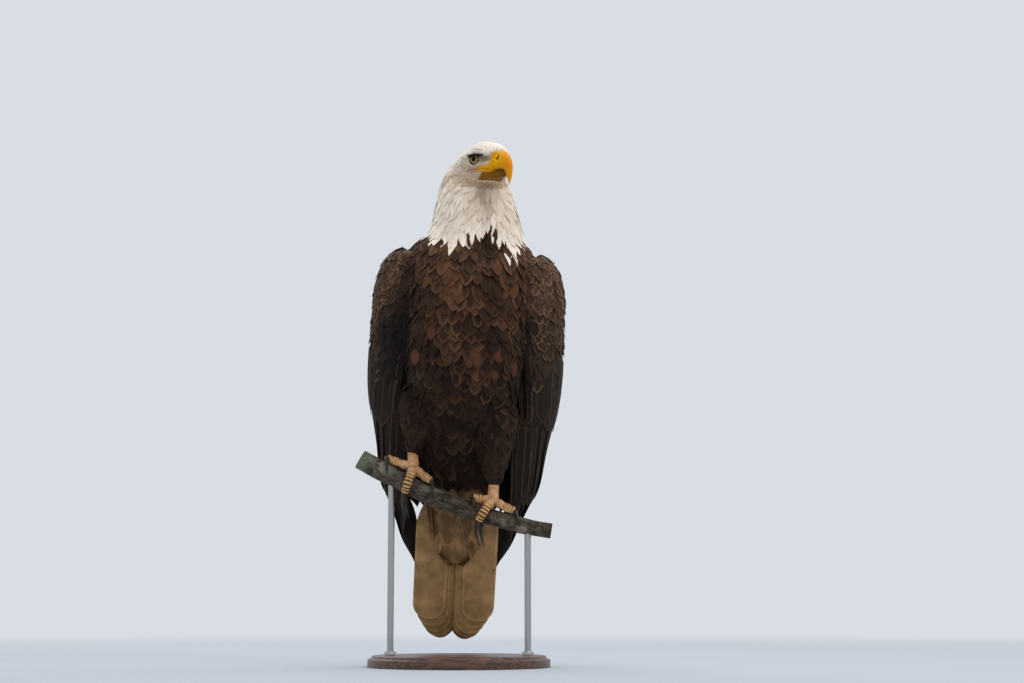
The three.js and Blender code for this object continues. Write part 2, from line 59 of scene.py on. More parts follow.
# Upright sections of the head: forward, half width, top, bottom, fullness.
headTable = np.array([
    [-68, 24, 3, -38, 2], [-55, 39, 16, -50, 2.2], [-36, 44, 24, -52, 2.3], [-18, 40, 28, -46, 2.4],
    [-4, 35.5, 30.5, -38, 2.6], [8, 32.5, 29, -34, 2.8], [18, 27, 24, -31.5, 2.6],
    [28, 20, 20, -28, 2.4], [36, 14.5, 16.4, -16, 2.3], [43, 12, 12.6, -6, 2.3]], float)
# Level sections of a folded wing: height, middle, half width, depth, from, to, thickness.
wingTable = np.array([
    [-96, 108, 64, 16, 84, 112, 3], [-49, 98, 88, 33, 60, 150, 8], [-8, 86, 102, 42, 54, 166, 13],
    [37, 72, 121, 53, 52, 172, 20], [100, 56, 132, 69, 50, 174, 30], [195, 32, 150, 82, 43, 174, 40],
    [300, 6, 152, 85, 39, 168, 46], [352, -5, 147, 78, 40, 160, 46], [382, -9, 133, 62, 46, 150, 42],
    [400, -11, 114, 40, 62, 128, 30]], float)


# Hermite curve through one column of a table, for a whole array of places along its first column.
def along(table, column, at):
    slots, values = table[:, 0], table[:, column]
    count = len(slots)
    i = np.clip(np.searchsorted(slots, at, side="right") - 1, 0, count - 2)
    before, after = np.maximum(np.arange(count) - 1, 0), np.minimum(np.arange(count) + 1, count - 1)
    slope = (values[after] - values[before]) / (slots[after] - slots[before])
    span = slots[i + 1] - slots[i]
    t = np.clip((at - slots[i]) / span, 0, 1)
    rise = t * t * (3 - 2 * t)
    bend = span * t * (1 - t) * ((1 - t) * slope[i] - t * slope[i + 1])
    return values[i] * (1 - rise) + values[i + 1] * rise + bend


# Distance to either side of the leaning bird's middle plane.
def besideMiddle(points):
    return np.abs(points[:, 0] - bird["offset"] - (points[:, 2] - bird["perchHeight"]) * leanSlope)


def smoothStep(low, high, value):
    t = np.clip((value - low) / (high - low), 0, 1)
    return t * t * (3 - 2 * t)


# A bell over (a, b): exp(-(a / wide)^2 - (b / high)^2), both measured from its middle.
def bell(a, b, middleA, middleB, wide, high):
    return np.exp(-((a - middleA) / wide) ** 2 - ((b - middleB) / high) ** 2)


def unit(vectors):
    return vectors / np.maximum(np.linalg.norm(vectors, axis=-1, keepdims=True), 1e-9)


# Mean of each value and its neighbours within reach.
def evened(values, reach):
    wide = 2 * reach + 1
    return np.convolve(np.pad(values, reach, mode="edge"), np.ones(wide) / wide, "valid")


# Angles all round, without the last.
def turns(count):
    return np.linspace(0, 2 * np.pi, count, endpoint=False)


# Lengths from the start to each point of a path.
def runAlong(path):
    return np.concatenate([[0], np.cumsum(np.linalg.norm(np.diff(path, axis=0), axis=1))])


# A measure of feathers that varies with their height over the floor.
def byHeight(heights, values):
    return lambda points: np.interp(points[:, 2], heights, values)


def squared(value, full):
    return np.sign(value) * np.abs(value) ** (2 / full)


# sqrt(1 - (1 - t)^2) at each end: a rounded bar's profile.
def rounded(share, start, end):
    low = np.clip(share / start, 0, 1)
    high = np.clip((1 - share) / end, 0, 1)
    return np.sqrt(np.maximum(1 - (1 - low) ** 2, 0)) * np.sqrt(np.maximum(1 - (1 - high) ** 2, 0))


def onBird(x, y, z):
    c, s = np.cos(np.radians(bird["lean"])), np.sin(np.radians(bird["lean"]))
    return np.stack(np.broadcast_arrays(
        x * c + z * s + bird["offset"], y, z * c - x * s + bird["perchHeight"]), -1)


eyeCentre = onBird(*bird["eyeMiddle"])
turnCos, turnSin = np.cos(np.radians(bird["headTurn"])), np.sin(np.radians(bird["headTurn"]))
rollCos, rollSin = np.cos(np.radians(bird["headRoll"])), np.sin(np.radians(bird["headRoll"]))
headForward = np.array([turnSin, -turnCos, 0])
headRight = np.array([-turnCos * rollCos, -turnSin * rollCos, -rollSin])
headUp = np.array([-turnCos * rollSin, -turnSin * rollSin, rollCos])


# Forward, right and up of the midpoint between the eyes.
def onHead(f, r, h):
    f, r, h = np.broadcast_arrays(f, r, h)
    return eyeCentre + f[..., None] * headForward + r[..., None] * headRight + h[..., None] * headUp


def intoHead(points):
    away = points - eyeCentre
    return away @ headForward, away @ headRight, away @ headUp


# Level body: x = shift + half sin a, y = middle - depth cos a, both squared up; grow moves it outwards.
def levelSurface(table, angle, z, grow):
    front, back = along(table, 1, z) - grow, along(table, 2, z) + grow
    half, full = along(table, 3, z) + grow, along(table, 4, z)
    low, high = table[0, 0] - grow, table[-1, 0] + grow
    close = rounded((z - low) / (high - low), 0.05, 0.05)
    return onBird(
        along(table, 5, z) + half * close * squared(np.sin(angle), full),
        (front + back) / 2 - (back - front) / 2 * close * squared(np.cos(angle), full), z)


trunkSurface, neckSurface = partial(levelSurface, trunkTable), partial(levelSurface, neckTable)


# Head: r = half sin a, h = middle + reach cos a, squared up, at each distance forward.
def headSurface(angle, f, grow):
    rear, face = headTable[0, 0] - grow, headTable[-1, 0] + grow
    close = rounded((f - rear) / (face - rear), 0.12, 0.06)
    half, full = along(headTable, 1, f) + grow, along(headTable, 4, f)
    top, bottom = along(headTable, 2, f) + grow, along(headTable, 3, f) - grow
    return onHead(
        f, half * close * squared(np.sin(angle), full),
        (top + bottom) / 2 + (top - bottom) / 2 * close * squared(np.cos(angle), full))


# Wing: an arc of the ellipse round the body; turn is 0 at its front edge and pi at its rear one, by the
# outside.
def wingSurface(outward, turn, z, grow, close=1.0):
    across = (1 - close * np.cos(turn)) / 2
    angle = np.radians(along(wingTable, 4, z) * (1 - across) + along(wingTable, 5, z) * across)
    thick = along(wingTable, 6, z) * (1 - 0.74 * np.clip(across, 0, 1) ** 0.8)
    reach = (thick / 2 + grow) * close * np.sin(turn)
    half = along(wingTable, 2, z) - thick / 2 + reach
    depth = along(wingTable, 3, z) - thick / 2 + reach
    return onBird(outward * half * np.sin(angle), along(wingTable, 1, z) - depth * np.cos(angle), z)


# Catmull-Rom path through the points, at evenly spaced lengths.
def smoothPath(points, count):
    points = np.array(points, float)
    knots = np.arange(len(points), dtype=float)
    fine = np.linspace(0, len(points) - 1, 40 * len(points))
    table = np.column_stack([knots, points])
    path = np.stack([along(table, k + 1, fine) for k in range(points.shape[1])], -1)
    run = runAlong(path)
    at = np.linspace(0, run[-1], count)
    return np.stack([np.interp(at, run, path[:, k]) for k in range(points.shape[1])], -1)


# Side directions along a path, kept from twisting by starting from one reference direction.
def sides(path, reference):
    onward = unit(np.gradient(path, axis=0))
    first = unit(np.cross(onward, np.broadcast_to(reference, path.shape)))
    return first, unit(np.cross(first, onward))


# One mesh object from points in mm and arrays of quads and triangles, facing outwards.
def makeMesh(name, points, quads, tris=None, sharp=None):
    points, quads = np.asarray(points, float).reshape(-1, 3), np.asarray(quads).reshape(-1, 4)
    tris = np.zeros((0, 3), int) if tris is None else np.asarray(tris).reshape(-1, 3)
    corners = np.concatenate([quads[:, :3], quads[:, [0, 2, 3]], tris])
    a, b, c = points[corners[:, 0]], points[corners[:, 1]], points[corners[:, 2]]
    if np.einsum("ij,ij->i", a - points.mean(0), np.cross(b - a, c - a)).sum() < 0:
        quads, tris = quads[:, ::-1], tris[:, ::-1]
    mesh = bpy.data.meshes.new(name)
    mesh.vertices.add(len(points))
    mesh.vertices.foreach_set("co", (points * 0.001).astype(np.float32).ravel())
    loops = np.concatenate([quads.ravel(), tris.ravel()]).astype(np.int32)
    starts = np.concatenate([np.arange(len(quads)) * 4, len(quads) * 4 + np.arange(len(tris)) * 3])
    mesh.loops.add(len(loops))
    mesh.loops.foreach_set("vertex_index", loops)
    mesh.polygons.add(len(starts))
    mesh.polygons.foreach_set("loop_start", starts.astype(np.int32))
    mesh.update(calc_edges=True)
    mesh.polygons.foreach_set("use_smooth", np.full(len(starts), True))
    if sharp:
        mesh.set_sharp_from_angle(angle=np.radians(sharp))
    mesh.validate()
    piece = bpy.data.objects.new(name, mesh)
    bpy.context.scene.collection.objects.link(piece)
    return piece


# A mesh's points in mm.
def readPoints(mesh):
    flat = np.empty(len(mesh.vertices) * 3, np.float32)
    mesh.vertices.foreach_get("co", flat)
    return flat.reshape(-1, 3).astype(float) * 1000


def writePoints(mesh, points):
    mesh.vertices.foreach_set("co", (points * 0.001).astype(np.float32).ravel())
    mesh.update()


# One value, three or four for each point of the mesh.
def addAttribute(piece, name, values):
    values = np.asarray(values, np.float32).ravel()
    kind, field = {1: ("FLOAT", "value"), 3: ("FLOAT_VECTOR", "vector"), 4: ("FLOAT_COLOR", "color")}[
        len(values) // len(piece.data.vertices)]
    piece.data.attributes.new(name, kind, "POINT").data.foreach_set(field, values)


def addUv(mesh, name, uv):
    layer = mesh.uv_layers.new(name=name)
    index = np.empty(len(mesh.loops), np.int32)
    mesh.loops.foreach_get("vertex_index", index)
    layer.data.foreach_set("uv", np.asarray(uv, np.float32)[index].ravel())


# Rings of points (rows, columns, 3) joined into a tube that closes in a point at each end.
def ringFaces(rows, columns):
    i, j = np.meshgrid(np.arange(rows - 1), np.arange(columns), indexing="ij")
    nextJ = (j + 1) % columns
    row, nextRow = i * columns, (i + 1) * columns
    quads = np.stack([row + j, row + nextJ, nextRow + nextJ, nextRow + j], -1)
    j = np.arange(columns)
    nextJ = (j + 1) % columns
    first, last = rows * columns, rows * columns + 1
    start = np.stack([np.full(columns, first), nextJ, j], -1)
    end = np.stack([np.full(columns, last), (rows - 1) * columns + j, (rows - 1) * columns + nextJ], -1)
    return quads.reshape(-1, 4), np.concatenate([start, end])


def closedTube(name, rings, **how):
    rows, columns = rings.shape[:2]
    quads, tris = ringFaces(rows, columns)
    points = np.concatenate([rings.reshape(-1, 3), [rings[0].mean(0)], [rings[-1].mean(0)]])
    return makeMesh(name, points, quads, tris, **how)


# A limb: circles of the given radii along a path, turned so that they start from the reference direction.
def limbRings(path, radii, columns, reference, endShare=0.12, flat=1.0):
    first, second = sides(path, np.array(reference, float))
    run = runAlong(path)
    share = run / run[-1]
    radius = np.interp(share, np.linspace(0, 1, len(radii)), radii)
    radius = radius * np.maximum(rounded(share, endShare, endShare), 0.04)
    angle = turns(columns)
    reach = radius[:, None] + 0 * angle[None]
    return (path[:, None] + first[:, None] * (reach * np.cos(angle))[..., None]
            + second[:, None] * (reach * flat * np.sin(angle))[..., None])


def joined(name, pieces):
    bpy.ops.object.select_all(action="DESELECT")
    for piece in pieces:
        piece.select_set(True)
    bpy.context.view_layer.objects.active = pieces[0]
    bpy.ops.object.join()
    pieces[0].name = name
    pieces[0].data.name = name
    return pieces[0]


# Overlapping pieces made one surface of voxels, in mm, and smoothed.
def fused(name, pieces, voxel, iterations):
    piece = joined(name, pieces)
    remesh = piece.modifiers.new("remesh", "REMESH")
    remesh.mode, remesh.voxel_size, remesh.adaptivity = "VOXEL", voxel * 0.001, 0
    smooth = piece.modifiers.new("smooth", "SMOOTH")
    smooth.factor, smooth.iterations = 0.5, iterations
    graph = bpy.context.evaluated_depsgraph_get()
    mesh = bpy.data.meshes.new_from_object(piece.evaluated_get(graph))
    piece.modifiers.clear()
    piece.data = mesh
    mesh.polygons.foreach_set("use_smooth", np.full(len(mesh.polygons), True))
    return piece


# Colours and materials.
def linear(hexCode):
    part = np.array([int(hexCode[i:i + 2], 16) for i in (1, 3, 5)]) / 255
    return np.where(part <= 0.04045, part / 12.92, ((part + 0.055) / 1.055) ** 2.4)


def colour(hexCode):
    return (*linear(hexCode), 1.0)


# Adds a node with its settings and gives back its outputs; inputs are values or the sockets that feed them.
def addNode(tree, kind, inputs=(), stops=None, **settings):
    node = tree.nodes.new("ShaderNode" + kind)
    for key, value in settings.items():
        setattr(node, key, value)
    if stops:
        while len(node.color_ramp.elements) < len(stops):
            node.color_ramp.elements.new(1)
        for element, (place, code) in zip(node.color_ramp.elements, stops):
            element.position = place
            element.color = colour(code)
    named = inputs if isinstance(inputs, dict) else dict(enumerate(inputs))
    for key, value in named.items():
        if isinstance(value, bpy.types.NodeSocket):
            tree.links.new(value, node.inputs[key])
        else:
            node.inputs[key].default_value = value
    return node.outputs


# A new material, the function that adds nodes to it, and its object coordinates.
def newMaterial(name):
    material = bpy.data.materials.new(name)
    material.use_nodes = True
    material.node_tree.nodes.clear()
    add = partial(addNode, material.node_tree)
    return material, add, add("TexCoord")["Object"]


def finishMaterial(material, surface):
    addNode(material.node_tree, "OutputMaterial", {"Surface": surface[0]})
    return material


# Keratin barbs zipped into a vane: satin, with fine slanting lines and a shaft. The barbs are drawn at
# 1.1 mm, coarser than the real 0.4 mm, so that they show.
def barbedFeather(name, look):
    material, add, place = newMaterial(name)
    tint = add("Attribute", attribute_name="tint")
    edge = add("Attribute", attribute_name="edge")
    vane = add("Attribute", attribute_name="vane")
    part = add("SeparateXYZ", (vane["Vector"],))
    side = add("Math", (part["Y"],), operation="ABSOLUTE")[0]
    slant = add("Math", (side, -0.8, part["X"]), operation="MULTIPLY_ADD")
    phase = add("Math", (slant[0], 2 * np.pi / look["barbSpacing"]), operation="MULTIPLY")
    barbs = add("Math", (phase[0],), operation="SINE")[0]
    cloud = add("TexNoise", {"Vector": place, "Scale": 45.0, "Detail": 4.0})["Fac"]
    ragged = add("TexNoise", {"Vector": place, "Scale": 260.0, "Detail": 2.0})["Fac"]
    rim = add("Math", (ragged, 1.4, part["Z"]), operation="MULTIPLY_ADD")[0]
    reach = add("Math", (edge["Alpha"], 1.0), operation="ADD")[0]
    fade = add("MapRange", {
        "Value": rim, "From Min": 0.5, "From Max": reach, "To Min": 1.0, "To Max": 0.0},
        interpolation_type="SMOOTHSTEP")[0]
    paleEdge = add("Mix", {0: fade, 6: tint["Color"], 7: edge["Color"]},
                   data_type="RGBA")[2]
    vary = add("MapRange", {"Value": cloud, "From Min": 0.3, "From Max": 0.7,
                                            "To Min": 1 - look["cloud"], "To Max": 1 + look["cloud"]})[0]
    lined = add("Math", (barbs, look["barbShade"], vary), operation="MULTIPLY_ADD")[0]
    shaded = add("VectorMath", {0: paleEdge, "Scale": lined}, operation="SCALE")[0]
    onShaft = add("MapRange", {
        "Value": side, "From Min": 0.25, "From Max": look["shaftWidth"], "To Min": 1.0, "To Max": 0.0})[0]
    shaftShare = add("Math", (onShaft, look["shaftShow"]), operation="MULTIPLY")[0]
    whole = add("Mix", {0: shaftShare, 6: shaded, 7: colour(look["shaft"])},
                data_type="RGBA")[2]
    height = add("Math", (barbs, 0.4, onShaft), operation="MULTIPLY_ADD")[0]
    bump = add("Bump", {"Height": height, "Strength": 0.35, "Distance": 0.0003})[0]
    return finishMaterial(material, add("BsdfPrincipled", {
        "Base Color": whole, "Roughness": look["roughness"], "Normal": bump, "IOR": 1.54,
        "Specular IOR Level": look["specular"], "Sheen Weight": look["sheen"], "Sheen Roughness": 0.5,
        "Sheen Tint": colour("#fff4e6")}))


featherLook = {"barbSpacing": 1.1, "cloud": 0.16, "barbShade": 0.07, "shaftWidth": 0.7, "shaftShow": 0.3,
               "shaft": "#3a2a1c", "roughness": 0.7, "specular": 0.12, "sheen": 0.0}
whiteVane = barbedFeather("barbed feather, white", dict(
    featherLook, cloud=0.05, barbShade=0.03, shaft="#efe6d8", shaftShow=0.2, roughness=0.75, specular=0.12))
brownVane = barbedFeather("barbed feather, brown", featherLook)
wingVane = barbedFeather("barbed feather, wing covert", dict(featherLook, roughness=0.64, specular=0.15))
flightVane = barbedFeather("stiff flight feather", dict(
    featherLook, barbShade=0.05, shaftWidth=1.5, shaftShow=0.7, shaft="#120c08", roughness=0.55,
    specular=0.2))
tailVane = barbedFeather("stiff tail feather", dict(
    featherLook, cloud=0.34, shaftWidth=1.5, shaftShow=0.2, shaft="#8f6f4a", roughness=0.65, specular=0.12))


# Skin under the coat: matte, coloured white, brown and tan as the coat above it is, with its painted shade.
def coatedSkin():
    material, add, place = newMaterial("down-covered skin")
    tint = add("Attribute", attribute_name="tint")["Color"]
    fluff = add("TexNoise", {"Vector": place, "Scale": 300.0, "Detail": 5.0})["Fac"]
    vary = add("MapRange", {"Value": fluff, "To Min": 0.75, "To Max": 1.25})[0]
    shaded = add("VectorMath", {0: tint, "Scale": vary}, operation="SCALE")[0]
    bump = add("Bump", {"Height": fluff, "Strength": 0.5, "Distance": 0.0006})[0]
    return finishMaterial(material, add("BsdfPrincipled", {
        "Base Color": shaded, "Roughness": 0.85, "Normal": bump, "Specular IOR Level": 0.2}))


print("materials for the coat are ready")

# Skin: all the bodies under the coat, inset by the coat's depth and joined as one.
# Fillings, as points, radii and rings: the mantle between back and wing, and the flesh inside the shoulder.
skinPlan = {
    "coat": {"trunk": 5.0, "neck": 5.5, "head": 2.6, "wing": 4.5, "thigh": 4.0},
    "voxel": 2.6, "smoothing": 5, "wingFrom": 112, "wingRows": (0.05, 0.07),
    "fillings": [
        ([(52, 38, 350), (50, 50, 320), (48, 59, 290), (44, 68, 260), (43, 74, 230), (42, 80, 200),
          (46, 82, 170), (48, 83, 140), (48, 81, 105)], (9, 18, 20, 20, 20, 19, 17, 14, 8), 60),
        ([(93, -8, 376), (95, 0, 348), (91, 22, 312), (84, 44, 272)], (15, 23, 25, 20), 30)],
}


fullTurn = turns(96)
easeRun = (1 - np.cos(np.linspace(0.02, np.pi - 0.02, 110))) / 2


def bodyPiece(name, surface, low, high, depth):
    levels = low + depth + (high - low - 2 * depth) * easeRun
    return closedTube(name, surface(fullTurn[None], levels[:, None], -depth))


coatDepth = skinPlan["coat"]
bodies = [
    bodyPiece("trunkCore", trunkSurface, trunkTable[0, 0], trunkTable[-1, 0], coatDepth["trunk"]),
    bodyPiece("neckCore", neckSurface, neckTable[0, 0], neckTable[-1, 0], coatDepth["neck"]),
    bodyPiece("headCore", headSurface, headTable[0, 0], headTable[-1, 0], coatDepth["head"]),
]
wingLow, wingHigh = wingTable[0, 0] + skinPlan["wingFrom"], wingTable[-1, 0] - 1
for side, outward in (("Right", -1), ("Left", 1)):
    levels = wingLow + (wingHigh - wingLow) * easeRun
    close = np.maximum(rounded(easeRun, *skinPlan["wingRows"]), 0.05)
    bodies.append(closedTube("wingCore" + side, wingSurface(
        outward, fullTurn[None], levels[:, None], -coatDepth["wing"], close[:, None])))
    for path, radii, count in skinPlan["fillings"]:
        spine = smoothPath(onBird(*(np.array(path, float) * (outward, 1, 1)).T), count)
        bodies.append(closedTube("filling" + side, limbRings(spine, radii, 32, (0, 1, 0))))

legPlan = {
    "right": {"outward": -1, "foot": -83, "hip": (-54, 12, 190),
              "spread": (33, 6, -39), "wrap": (26, 134, 14)},
    "left": {"outward": 1, "foot": 43, "hip": (46, 12, 176),
             "spread": (-31, -11, 37), "wrap": (14, 130, 24)},
}
footPlan = {"toeRadius": 6.6, "knuckleLift": 5.5, "hindWrap": -112, "hindSpread": -6,
            "clawLength": 38, "hindClaw": 40,
            "clawRadius": 4.9, "ankle": 28, "gripWrap": 84, "gripSweep": 13, "gripLift": 3.4}
perchPlan = {"left": -152, "right": 140, "radius": 13.6, "taper": 0.013, "rise": 1.3, "slope": -0.366,
             "bend": 0.00074, "swell": 1.07}


def perchMiddle(x):
    x = np.asarray(x, float)
    high = bird["perchHeight"] + perchPlan["rise"] + perchPlan["slope"] * x + perchPlan["bend"] * x * x
    return np.stack([x, 0 * x, high], -1)


def besidePerch(x, wrap, lift):
    middle = perchMiddle(x)
    onward = unit(perchMiddle(x + 1) - middle)
    up = np.array([-onward[2], 0, onward[0]])
    reach = (perchPlan["radius"] - perchPlan["taper"] * x) * perchPlan["swell"] + lift
    wrap = np.radians(wrap)
    return middle + up * reach * np.cos(wrap) + np.array([0, -reach * np.sin(wrap), 0])


def legPoints(leg):
    knuckle = besidePerch(leg["foot"], 0, footPlan["toeRadius"] + footPlan["knuckleLift"])
    ankle = knuckle + np.array([leg["outward"] * 2, 9, footPlan["ankle"]])
    hip = onBird(*leg["hip"])
    knee = (hip + ankle) / 2 + np.array([0, -14, 0])
    return hip, knee, ankle, knuckle


thighPaths, thighRadii = {}, np.array([34, 42, 42, 36, 28, 20, 14]) - coatDepth["thigh"]
for side, leg in legPlan.items():
    hip, knee, ankle, knuckle = legPoints(leg)
    thighPaths[side] = smoothPath([hip, knee, ankle - np.array([0, 0, 7])], 60)
    bodies.append(closedTube("thighCore" + side, limbRings(thighPaths[side], thighRadii, 48, (0, 1, 0))))

skin = fused("skin", bodies, skinPlan["voxel"], skinPlan["smoothing"])
print("skin has", len(skin.data.polygons), "faces")

# Face: a long hollow before and round each eye under an overhanging brow, moved in and out sideways.
# The places are forward, up, long and high on the side of the head.
facePlan = {"eyeSpot": (-2, 22.6, -1.8), "eyeRadius": 9.6, "gaze": (0.62, 0.78, -0.02),
            "hollow": 8.0, "hollowAt": (20, -3.5, 13, 7), "cheek": 1.6, "cheekAt": (-4, -15, 14, 5),
            "brow": 3.6, "browThick": 3.2,
            "browLine": [(-14, 6.5), (-8, 7.4), (0, 8.0), (8, 7.8), (15, 6.8), (22, 5.6), (30, 5.0)]}
points = readPoints(skin.data)
f, r, h = intoHead(points)
sideways = np.sign(r) * smoothStep(5, 13, np.abs(r))
browFs, browHs = np.array(facePlan["browLine"], float).T
browHigh = np.interp(f, browFs, browHs)
hollow = facePlan["hollow"] * bell(f, h, *facePlan["hollowAt"])
brow = (facePlan["brow"] * np.exp(-((h - browHigh) / facePlan["browThick"]) ** 2)
        * smoothStep(-24, -8, f) * smoothStep(36, 22, f))
cheek = facePlan["cheek"] * bell(f, h, *facePlan["cheekAt"])
points = points + ((brow + cheek - hollow) * sideways)[:, None] * headRight
eyes = {}
for side, sign in (("right", 1), ("left", -1)):
    eyeF, eyeR, eyeH = facePlan["eyeSpot"]
    centre = onHead(eyeF, sign * eyeR, eyeH)
    gaze = unit(np.array(facePlan["gaze"]) * (1, sign, 1))
    gaze = gaze[0] * headForward + gaze[1] * headRight + gaze[2] * headUp
    eyes[side] = (centre, gaze)
    away = points - centre
    distance = np.linalg.norm(away, axis=1)
    facing = (away @ gaze) / np.maximum(distance, 1e-6)
    sunk = smoothStep(0.45, 0.78, facing) * (distance < 24)
    target = centre + unit(away) * (facePlan["eyeRadius"] - 1.6)
    points = points * (1 - sunk[:, None]) + target * sunk[:, None]
writePoints(skin.data, points)


# The nearest places on the skin to an array of points, and the outward directions there.
def settle(points):
    mesh = bpy.data.meshes.new("probe")
    mesh.vertices.add(len(points))
    writePoints(mesh, points)
    probe = bpy.data.objects.new("probe", mesh)
    bpy.context.scene.collection.objects.link(probe)
    wrap = probe.modifiers.new("wrap", "SHRINKWRAP")
    wrap.target, wrap.wrap_method, wrap.wrap_mode = skin, "NEAREST_SURFACEPOINT", "ABOVE_SURFACE"
    found = []
    for offset in (0.0, 0.004):
        wrap.offset = offset
        graph = bpy.context.evaluated_depsgraph_get()
        found.append(readPoints(probe.evaluated_get(graph).data))
    bpy.data.objects.remove(probe)
    bpy.data.meshes.remove(mesh)
    return found[0], unit(found[1] - found[0])


# Coat: roots in rows round each body, then vanes that march down the lie of the feathers.
def rowsOn(surface, levels, spacing, angleRange=(0, 2 * np.pi)):
    points, spots = [], []
    for k, level in enumerate(levels):
        angle = np.linspace(*angleRange, 241)
        ring = surface(angle, np.full(241, float(level)))
        run = runAlong(ring)
        count = max(int(run[-1] / spacing[k]), 3)
        at = (np.arange(count) + 0.5 * (k % 2) + rng.normal(0, 0.13, count)) / count * run[-1] % run[-1]
        turned = np.interp(at, run, angle)
        gap = levels[min(k + 1, len(levels) - 1)] - levels[max(k - 1, 0)]
        jitter = rng.normal(0, 0.12, count) * gap / 2
        points.append(surface(turned, level + jitter))
        spots.append(np.stack([turned, level + jitter], -1))
    return np.concatenate(points), np.concatenate(spots)


# Levels from high to low whose steps follow a spacing that varies with the level.
def stepsDown(high, low, step):
    levels = [high]
    while levels[-1] - step(levels[-1]) > low:
        levels.append(levels[-1] - step(levels[-1]))
    return np.array(levels)


faceCentre = onHead(44, 0, -6)
bodyDown = onBird(0, 0, 0) - onBird(0, 0, 1)


# Lie of the coat: away from the bill over the head, then down the body; on the tail's root, down and back.
def lieOf(points, normals):
    away = points - faceCentre
    distance = np.linalg.norm(away, axis=1)
    near = (1 - smoothStep(62, 120, distance))[:, None]
    low = smoothStep(80, -30, points[:, 2] - bird["perchHeight"])[:, None]
    flow = unit(away) * near + bodyDown * (1 - near) + low * np.array([0, 0.25, 0])
    flow = flow - normals * np.sum(flow * normals, 1, keepdims=True)
    return unit(flow)


# Vanes: rings of points (tops over the vane, tops - 4 under it) along each midline, closed at both ends.
# middle and normal are (feathers, rows, 3); half and lift are (feathers, rows), in mm.
def vanes(name, middle, normal, half, lift, looks, root, camber, tops=5, thick=0.42, roll=None):
    count, rows = half.shape
    onward = unit(np.gradient(middle, axis=1))
    across = unit(np.cross(normal, onward))
    if roll is not None:
        across = across * np.cos(roll)[:, None, None] + normal * np.sin(roll)[:, None, None]
    upward = unit(np.cross(onward, across))
    upward = upward * np.sign(np.sum(upward * normal, -1, keepdims=True))
    under = max(tops - 4, 1)
    v = np.concatenate([np.linspace(-1, 1, tops), np.linspace(1, -1, under + 2)[1:-1]])
    isUnder = np.concatenate([np.zeros(tops), np.ones(under)])
    span = v * half[..., None]
    shaft = 0.25 * (1 - np.clip(np.abs(v) * 3, 0, 1)) * (1 - isUnder)
    rise = lift[..., None] - camber * span ** 2 + (thick * (1 - np.abs(v) ** 2) * (0.5 - isUnder)) + shaft
    points = (middle[:, :, None] + across[:, :, None] * span[..., None]
              + upward[:, :, None] * rise[..., None])
    columns = len(v)
    inner = points[:, 1:-1]
    first = points[:, 0].mean(1, keepdims=True)
    last = points[:, -1].mean(1, keepdims=True)
    quads, tris = ringFaces(rows - 2, columns)
    each = (rows - 2) * columns + 2
    everyPoint = np.concatenate([inner.reshape(count, -1, 3), first, last], 1)
    shift = (np.arange(count) * each)[:, None, None]
    piece = makeMesh(name, everyPoint.reshape(-1, 3), (quads[None] + shift).reshape(-1, 4),
                     (tris[None] + shift).reshape(-1, 3), sharp=70)
    steps = np.linalg.norm(np.diff(middle, axis=1), axis=2)
    run = np.concatenate([np.zeros((count, 1)), np.cumsum(steps, 1)], 1)
    length = run[:, -1:]

    def spread(values, firstValue, lastValue):
        body = np.broadcast_to(values[:, 1:-1], (count, rows - 2, columns)).reshape(count, -1)
        return np.concatenate([body, firstValue[:, None], lastValue[:, None]], 1).ravel()

    zero = np.zeros(count)
    s = spread(np.broadcast_to(run[:, :, None], span.shape), zero, length[:, 0])
    t = spread(span, zero, zero)
    tipDistance = (length - run)[:, :, None] * 0.8
    rim = np.minimum((1 - np.abs(v)) * half[..., None], tipDistance)
    rim = spread(rim, half.max(1), zero)
    addAttribute(piece, "vane", np.stack([s, t, rim], -1))
    tint = np.repeat(np.concatenate([looks["tint"], np.ones((count, 1))], 1), each, 0)
    edge = np.repeat(np.concatenate([looks["edge"], looks["edgeWidth"][:, None]], 1), each, 0)
    if "back" in looks:
        below = np.concatenate([np.tile(isUnder > 0, rows - 2), [False, False]])
        below = np.tile(below, count)[:, None]
        back = np.repeat(np.concatenate([looks["back"], np.ones((count, 1))], 1), each, 0)
        tint, edge[:, :3] = np.where(below, back, tint), np.where(below, back, edge)[:, :3]
    for key, value in (("tint", tint), ("edge", edge)):
        addAttribute(piece, key, value)
    # Each feather gets a patch 0.003 across on the OFBake map, at its root's place on the unwrapped skin.
    patch = np.stack([t / np.repeat(half.max(1), each), 2 * s / np.repeat(length[:, 0], each) - 1], -1)
    addUv(piece.data, "OFBake", np.repeat(root, each, 0) + patch * 0.0015)
    return piece


# Unwraps: each body's rows and turns laid out in its own rectangle of the map.
unwrap = {"head": (0.02, 0.70, 0.30, 0.28), "neck": (0.34, 0.70, 0.30, 0.28),
          "trunk": (0.02, 0.02, 0.40, 0.64),
          "wingright": (0.44, 0.02, 0.25, 0.64), "wingleft": (0.71, 0.02, 0.25, 0.64),
          "thighright": (0.66, 0.70, 0.14, 0.28), "thighleft": (0.82, 0.70, 0.14, 0.28),
          "tail": (0.44, 0.67, 0.2, 0.02)}


def onMap(region, turnShare, levelShare):
    x, y, wide, high = unwrap[region]
    return np.stack([x + wide * np.clip(turnShare, 0, 1), y + high * np.clip(levelShare, 0, 1)], -1)


# Widths along a vane for each kind of feather, as a share of the half width, at seven places and between.
vaneShapes = {
    "soft": [0.25, 0.72, 0.94, 1.0, 0.97, 0.86, 0.62, 0.0],
    "pointed": [0.35, 0.85, 1.0, 0.98, 0.86, 0.66, 0.38, 0.0],
    "covert": [0.3, 0.7, 0.9, 1.0, 1.0, 0.93, 0.7, 0.0],
    "plush": [0.4, 0.85, 1.0, 1.0, 0.92, 0.78, 0.52, 0.0],
}


